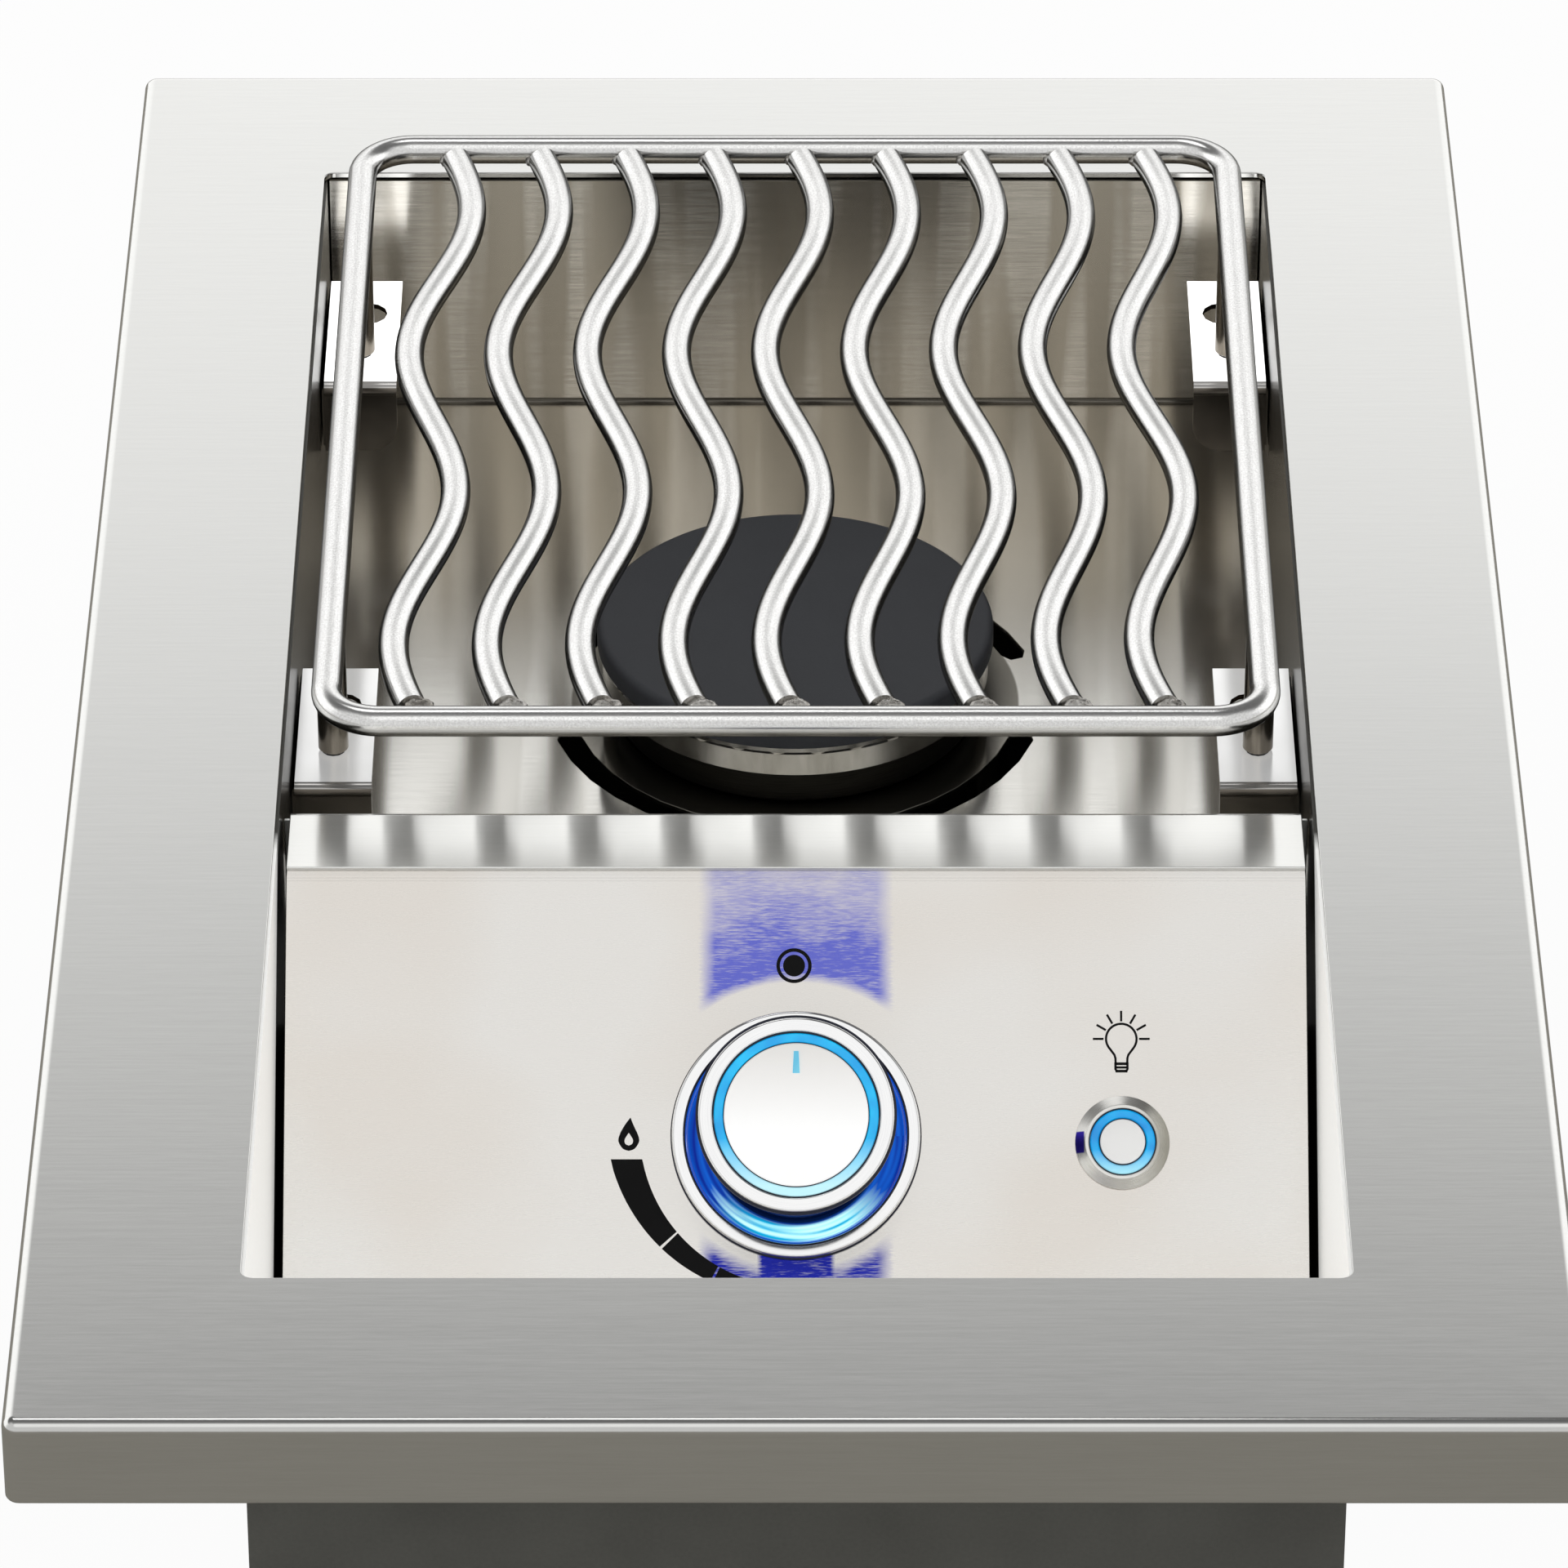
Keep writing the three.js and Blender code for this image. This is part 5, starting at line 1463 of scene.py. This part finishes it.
def knob():
    """The chrome knob with its sides in painted shade, its dark rings of painted shade, its light ring
    and its white face.
    """
    stem_bore = 4.2
    collar = 7.5
    collar_foot = 4.5
    inside = 18.6
    foot = -1.5
    collar_top = 6
    rim = 31
    side = [
        (collar, collar_foot),
        (inside, collar_foot),
        (inside, foot),
        (21.4, foot),
        (21.5, 26),
        *arc(22.7, 28.4, 1.2, 180, 120, 4),
        (24.0, 30.2),
        (24.0, rim),
        (stem_bore, rim),
        (stem_bore, collar_top),
        (collar, collar_top),
    ]
    centre = 4.3
    widest = 24.3
    recess = 32.5
    crown = [
        (centre, rim),
        (widest, rim),
        *arc(widest, 31.5, 0.4, -60, 0, 3),
        *arc(24.0, 35.3, 0.7, 0, 90, 8),
        *arc(21.5, 35.6, 0.4, 90, 180, 3),
        (21.1, recess),
        (centre, recess),
    ]
    piece(
        "chrome_knob",
        [(lathe(in_metres(side), KNOB), True, False, 1), (lathe(in_metres(crown), KNOB), True, False, 0)],
        "knob", [chrome, chrome_in_painted_shade], ["knob_body"],
    )
    shade_rings("knob_shade_rings", KNOB, KNOB_SHADE_RINGS, "knob")
    shade_rings("bezel_shade_ring", KNOB, BEZEL_SHADE_RING, "cabinet")

    seat = 32.8
    shoulder = 35.3
    ring_round = 0.3
    ring = [
        (18.35, seat),
        (20.7, seat),
        *arc(20.4, shoulder, ring_round, 0, 90, 4),
        *arc(18.65, shoulder, ring_round, 90, 180, 4),
    ]
    turned("knob_glow_ring", in_metres(ring), KNOB, "knob", cyan_lens, "knob_light_ring")

    edge = 18.1
    flat_edge = 17.8
    top = 36
    face = [(0, seat), (edge, seat), (edge, 35.7), (flat_edge, top)]
    face += dome(flat_edge, top, 0.6, 12)
    turned(
        "white_knob_face", in_metres(face), KNOB, "knob", white_lens, "knob_face_cap",
        ring=False,
    )


def button():
    """The lamp button: a turned flange with a bright lip, a lit ring and a white cap."""
    bore = 7
    tube = 8
    bottom = -22
    seat = 0.3
    lip_round = 0.3
    pocket = 1.2
    housing = [
        (bore, bottom),
        (tube, bottom),
        (tube, seat),
        (11.8, seat),
        *arc(11.7, 0.6, lip_round, -60, 30, 3),
        (9.65, 2.35),
        *arc(9.4, 2.2, lip_round, 50, 90, 2),
        *arc(8.8, 2.3, 0.2, 90, 180, 3),
        (8.6, pocket),
        (bore, pocket),
    ]
    turned(
        "turned_button_flange", in_metres(housing), BUTTON, "cabinet", button_steel,
        "button_housing", sides=BUTTON_SIDES,
    )

    seat = 1.5
    shoulder = 2.0
    ring_round = 0.5
    ring = [
        (6.0, seat),
        (8.3, seat),
        *arc(7.8, shoulder, ring_round, 0, 90, 4),
        *arc(6.5, shoulder, ring_round, 90, 180, 4),
    ]
    turned(
        "button_glow_ring", in_metres(ring), BUTTON, "cabinet", button_lens,
        "button_light_ring", sides=BUTTON_SIDES,
    )
    shade_rings("button_shade_rings", BUTTON, BUTTON_SHADE_RINGS, "cabinet")

    stem = 5.4
    flat_edge = 5.3
    edge_round = 0.4
    foot = -3.9
    top = 3.1
    cap = [
        (0, foot),
        (stem, foot),
        (stem, 1.2),
        (5.7, 1.6),
        *arc(flat_edge, top - edge_round, edge_round, 0, 90, 4),
        *dome(flat_edge, top, 0.5, 8),
    ]
    turned(
        "white_button_cap", in_metres(cap), BUTTON, "lamp_button", white_button,
        "button_cap", ring=False, sides=BUTTON_SIDES,
    )


def stroke(place, line, half, closed=False):
    """A printed stroke of one width."""
    rows = ribbon(place, line, [half] * len(line), 0, PRINT_RISE, closed)
    return (rows, closed, not closed, 0)


def circle(place, x, y, radius, half):
    """A printed circle of one width."""
    return stroke(place, arc(x, y, radius, 0, 360, CIRCLE_STEPS)[:-1], half, closed=True)


def smooth(points, steps=5):
    """Points joined by a smooth curve through all of them."""
    ends = [points[0], *points, points[-1]]
    curve = []
    for a, b, c, d in zip(ends, ends[1:], ends[2:], ends[3:]):
        for i in range(steps):
            t = i / steps
            curve.append(tuple(
                (2 * q + (r - p) * t + (2 * p - 5 * q + 4 * r - v) * t ** 2
                 + (3 * q - p - 3 * r + v) * t ** 3) / 2
                for p, q, r, v in zip(a, b, c, d)
            ))
    return curve + [points[-1]]


def between(place, left, right):
    """A flat printed shape between two edge lines in millimetres."""
    rows = []
    for first, last in zip(left, right):
        corners = ((last, 0), (last, PRINT_RISE), (first, PRINT_RISE), (first, 0))
        rows.append([place @ (Vector((*spot, height)) * MM) for spot, height in corners])
    return rows


def flame(place, x, y, size):
    """A plain gas flame: one drop with a smaller drop left open in its foot."""
    strokes = []
    mirrored = [[(-a, b) for a, b in edge] for edge in FLAME_FOOT]
    for edges in (FLAME_TIP, FLAME_FOOT, mirrored):
        left, right = (smooth([(x + size * a, y + size * b) for a, b in edge]) for edge in edges)
        strokes.append((between(place, left, right), False, True, 0))
    return strokes


def gauge():
    """The heat gauge: an arc in three parts that grows thinner and nearer the knob."""
    strokes = []
    for first, last in GAUGE_PARTS:
        line = []
        halves = []
        for i in range(GAUGE_STEPS + 1):
            angle = first + (last - first) * i / GAUGE_STEPS
            share = (angle - GAUGE_START) / GAUGE_SPAN
            radius = GAUGE_RADIUS - 4.6 * share + 1.0 * share ** 2
            line.append((radius * math.cos(math.radians(angle)), radius * math.sin(math.radians(angle))))
            halves.append(GAUGE_HALF - 2.9 * share)
        start = (0, -1) if first == GAUGE_START else None
        strokes.append((ribbon(KNOB, line, halves, 0, PRINT_RISE, start=start), False, True, 0))
    return strokes


def lamp_symbol():
    """A light bulb with seven rays over it and its screw base under it."""
    middle = Matrix.Translation((-0.1 * MM, BUTTON_DROP - 41.5 * MM, 0))
    place = BUTTON @ middle @ Matrix.Scale(1.05, 4)
    bulb = arc(0, 0, 3.7, -40, 220, 40)
    neck = [(-1.7, -3.9), (-1.45, -4.7), (-1.4, -6.0)]
    outline = [(-x, y) for x, y in reversed(neck)] + bulb + neck
    strokes = [stroke(place, outline, 0.28)]
    ray_start = 4.3
    ray_end = 6.9
    for number in range(7):
        angle = math.radians(30 * number)
        line = [(length * math.cos(angle), length * math.sin(angle)) for length in (ray_start, ray_end)]
        strokes.append(stroke(place, line, 0.27))
    base = 1.45
    for height, half in ((-6.1, 0.34), (-7.0, 0.28), (-7.9, 0.34)):
        strokes.append(stroke(place, [(-base, height), (base, height)], half))
    for side in (-1, 1):
        line = [(side * base, -5.8), (side * base, -7.4), (side * 1.1, -8.0)]
        strokes.append(stroke(place, line, 0.3))
    return strokes


def panel_print():
    """The marks screen printed on the panel, and the pointer on the knob's face."""
    off_x = -0.5
    off_y = KNOB_DROP / MM - 22.6
    dot = 1.4
    marks = [circle(KNOB, off_x, off_y, 4.05, 0.45), circle(KNOB, off_x, off_y, dot, dot)]
    marks += flame(KNOB, -42.5, 0.4, 8.6)
    marks += gauge()
    piece("panel_marks", marks, "cabinet", [panel_ink], ())
    piece("lamp_mark", lamp_symbol(), "cabinet", [panel_ink], ())

    line = [(0, 10.4), (0, 16)]
    pointer = ribbon(KNOB, line, [0.9, 0.6], 36.1, 36.48)
    piece("knob_mark", [(pointer, False, True, 0)], "knob", [blue_mark], ())


trim_frame()
grid()
burner()
bezel()
knob()
button()
panel_print()

sheet_finishes = {
    **{name: bracket_steel for name in frame["nodes"] if name.startswith("grid_bracket_")},
    "bowl_pan": bowl_steel,
    "bowl_front_wall": ledge_steel,
    "control_panel": panel_steel,
    "well_floor": panel_steel,
}
slot_finishes = {
    "bright_steel": bowl_steel,
    "case_steel": case_coat,
    "brass": brass,
    "cast_aluminium": cast_aluminium,
    "ceramic": ceramic,
    "black_plastic": black_plastic,
    "black_rubber": black_rubber,
}
for name, node in frame["nodes"].items():
    if not node.hide_render:
        slot_name = node.data.materials[0].name.split(".")[0]
        outside = sheet_finishes[name] if name in sheet_finishes else slot_finishes[slot_name]
        inside = wall_steel if name.startswith("case_") else None
        dressed(name, outside, inside)


# Floor, light and camera

FLOOR_REACH = 6.0
FLOOR_DROP = 0.5 * MM
SKY_BRIGHT = 1.33
SKY_DIM = 0.14
ROOM_BRIGHT = 0.74
ROOM_DIM = 0.3
OVERHEAD = 1.07
OVERHEAD_DIRECTION = (0.0, -0.565, 0.825)
CAMERA_PLACE = (-0.00306, -2.09546, 1.63710)
CAMERA_PITCH = 34.4
CAMERA_LENS = 221.8
CAMERA_SENSOR = 36


def studio_floor():
    """A pale floor that keeps a faint shadow and looks near white to the camera."""
    finish, tree, surface = new_finish("pale_studio_floor", Roughness=0.9)
    mottle = sized_noise(tree, add(tree, "TexCoord").outputs["Object"], (60, 60, 60), detail=2.0)
    path = add(tree, "LightPath")
    tone = toned(tree, mottle, "#a9a59b", "#ada9a0")
    tone = add(
        tree, "Mix", {0: path.outputs["Is Glossy Ray"], 6: linear("#fbfaf8"), 7: tone}, data_type="RGBA"
    ).outputs[2]
    feed(tree, surface, Base_Color=tone)
    white = add(tree, "Emission", {"Color": (1, 1, 1, 1), "Strength": 1.0})
    share = add(
        tree, "Math", {0: path.outputs["Is Camera Ray"], 1: 0.95}, operation="MULTIPLY"
    ).outputs[0]
    whole = add(tree, "MixShader", {0: share, 1: surface.outputs["BSDF"], 2: white.outputs[0]})
    tree.links.new(whole.outputs[0], tree.nodes["Material Output"].inputs["Surface"])
    mesh = bpy.data.meshes.new("floor")
    sides = ((-1, -1), (1, -1), (1, 1), (-1, 1))
    corners = [(x * FLOOR_REACH, y * FLOOR_REACH, -FLOOR_DROP) for x, y in sides]
    mesh.from_pydata(corners, [], [(0, 1, 2, 3)])
    mesh.materials.append(finish)
    new_object("floor", mesh)


def studio_sky():
    """A bright sweep behind the object, a dimmer room in front and a light patch overhead."""
    world = bpy.data.worlds.new("studio")
    bpy.context.scene.world = world
    world.use_nodes = True
    tree = world.node_tree
    tree.nodes.clear()
    direction = add(tree, "TexCoord").outputs["Generated"]
    height = add(tree, "SeparateXYZ", {"Vector": direction}).outputs["Z"]
    sweep_level = add(
        tree,
        "MapRange",
        {"Value": height, "From Min": 0.5, "From Max": 0.665, "To Min": SKY_BRIGHT, "To Max": SKY_DIM},
        interpolation_type="SMOOTHSTEP",
    ).outputs["Result"]
    room_level = add(
        tree,
        "MapRange",
        {
            "Value": height,
            "From Min": 0.86,
            "From Max": 0.93,
            "To Min": ROOM_BRIGHT,
            "To Max": ROOM_DIM,
        },
    ).outputs["Result"]
    behind = add(
        tree,
        "MapRange",
        {
            "Value": add(tree, "SeparateXYZ", {"Vector": direction}).outputs["Y"],
            "From Min": -0.35,
            "From Max": 0.15,
            "To Min": 0.0,
            "To Max": 1.0,
        },
        interpolation_type="SMOOTHSTEP",
    ).outputs["Result"]
    level = add(tree, "Mix", {0: behind, 2: room_level, 3: sweep_level}, data_type="FLOAT").outputs[0]
    above = add(
        tree, "VectorMath", {0: direction, 1: OVERHEAD_DIRECTION}, operation="DOT_PRODUCT"
    ).outputs["Value"]
    level = add(
        tree,
        "Mix",
        {
            0: add(
                tree,
                "MapRange",
                {"Value": above, "From Min": 0.94, "From Max": 0.985, "To Min": 0.0, "To Max": 1.0},
                interpolation_type="SMOOTHSTEP",
            ).outputs["Result"],
            2: level,
            3: OVERHEAD,
        },
        data_type="FLOAT",
    ).outputs[0]
    seen = add(tree, "LightPath").outputs["Is Camera Ray"]
    strength = add(tree, "Mix", {0: seen, 2: level, 3: 1.0}, data_type="FLOAT").outputs[0]
    sky = add(tree, "Background", {"Color": (1, 1, 0.995, 1), "Strength": strength})
    add(tree, "OutputWorld", {"Surface": sky.outputs[0]})


def softbox(name, place, target, width, height, radiance):
    """A softbox of even radiance, unseen by the camera."""
    lamp = bpy.data.lights.new(name, "AREA")
    lamp.shape = "RECTANGLE"
    lamp.size = width
    lamp.size_y = height
    lamp.energy = radiance * math.pi * width * height
    made = new_object(name, lamp)
    made.location = place
    made.rotation_euler = (Vector(target) - Vector(place)).to_track_quat("-Z", "Y").to_euler()
    made.visible_camera = False


studio_floor()
studio_sky()
softbox("overhead_softbox", (-0.3, 1.0, 2.5), (0, 0, 0.2), width=1.1, height=0.7, radiance=1.8)

camera_data = bpy.data.cameras.new("camera")
camera_data.lens = CAMERA_LENS
camera_data.sensor_width = CAMERA_SENSOR
camera = new_object("camera", camera_data)
camera.location = CAMERA_PLACE
camera.rotation_euler = (math.radians(90 - CAMERA_PITCH), 0, 0)
bpy.context.scene.camera = camera
bpy.context.scene.view_settings.view_transform = "Standard"
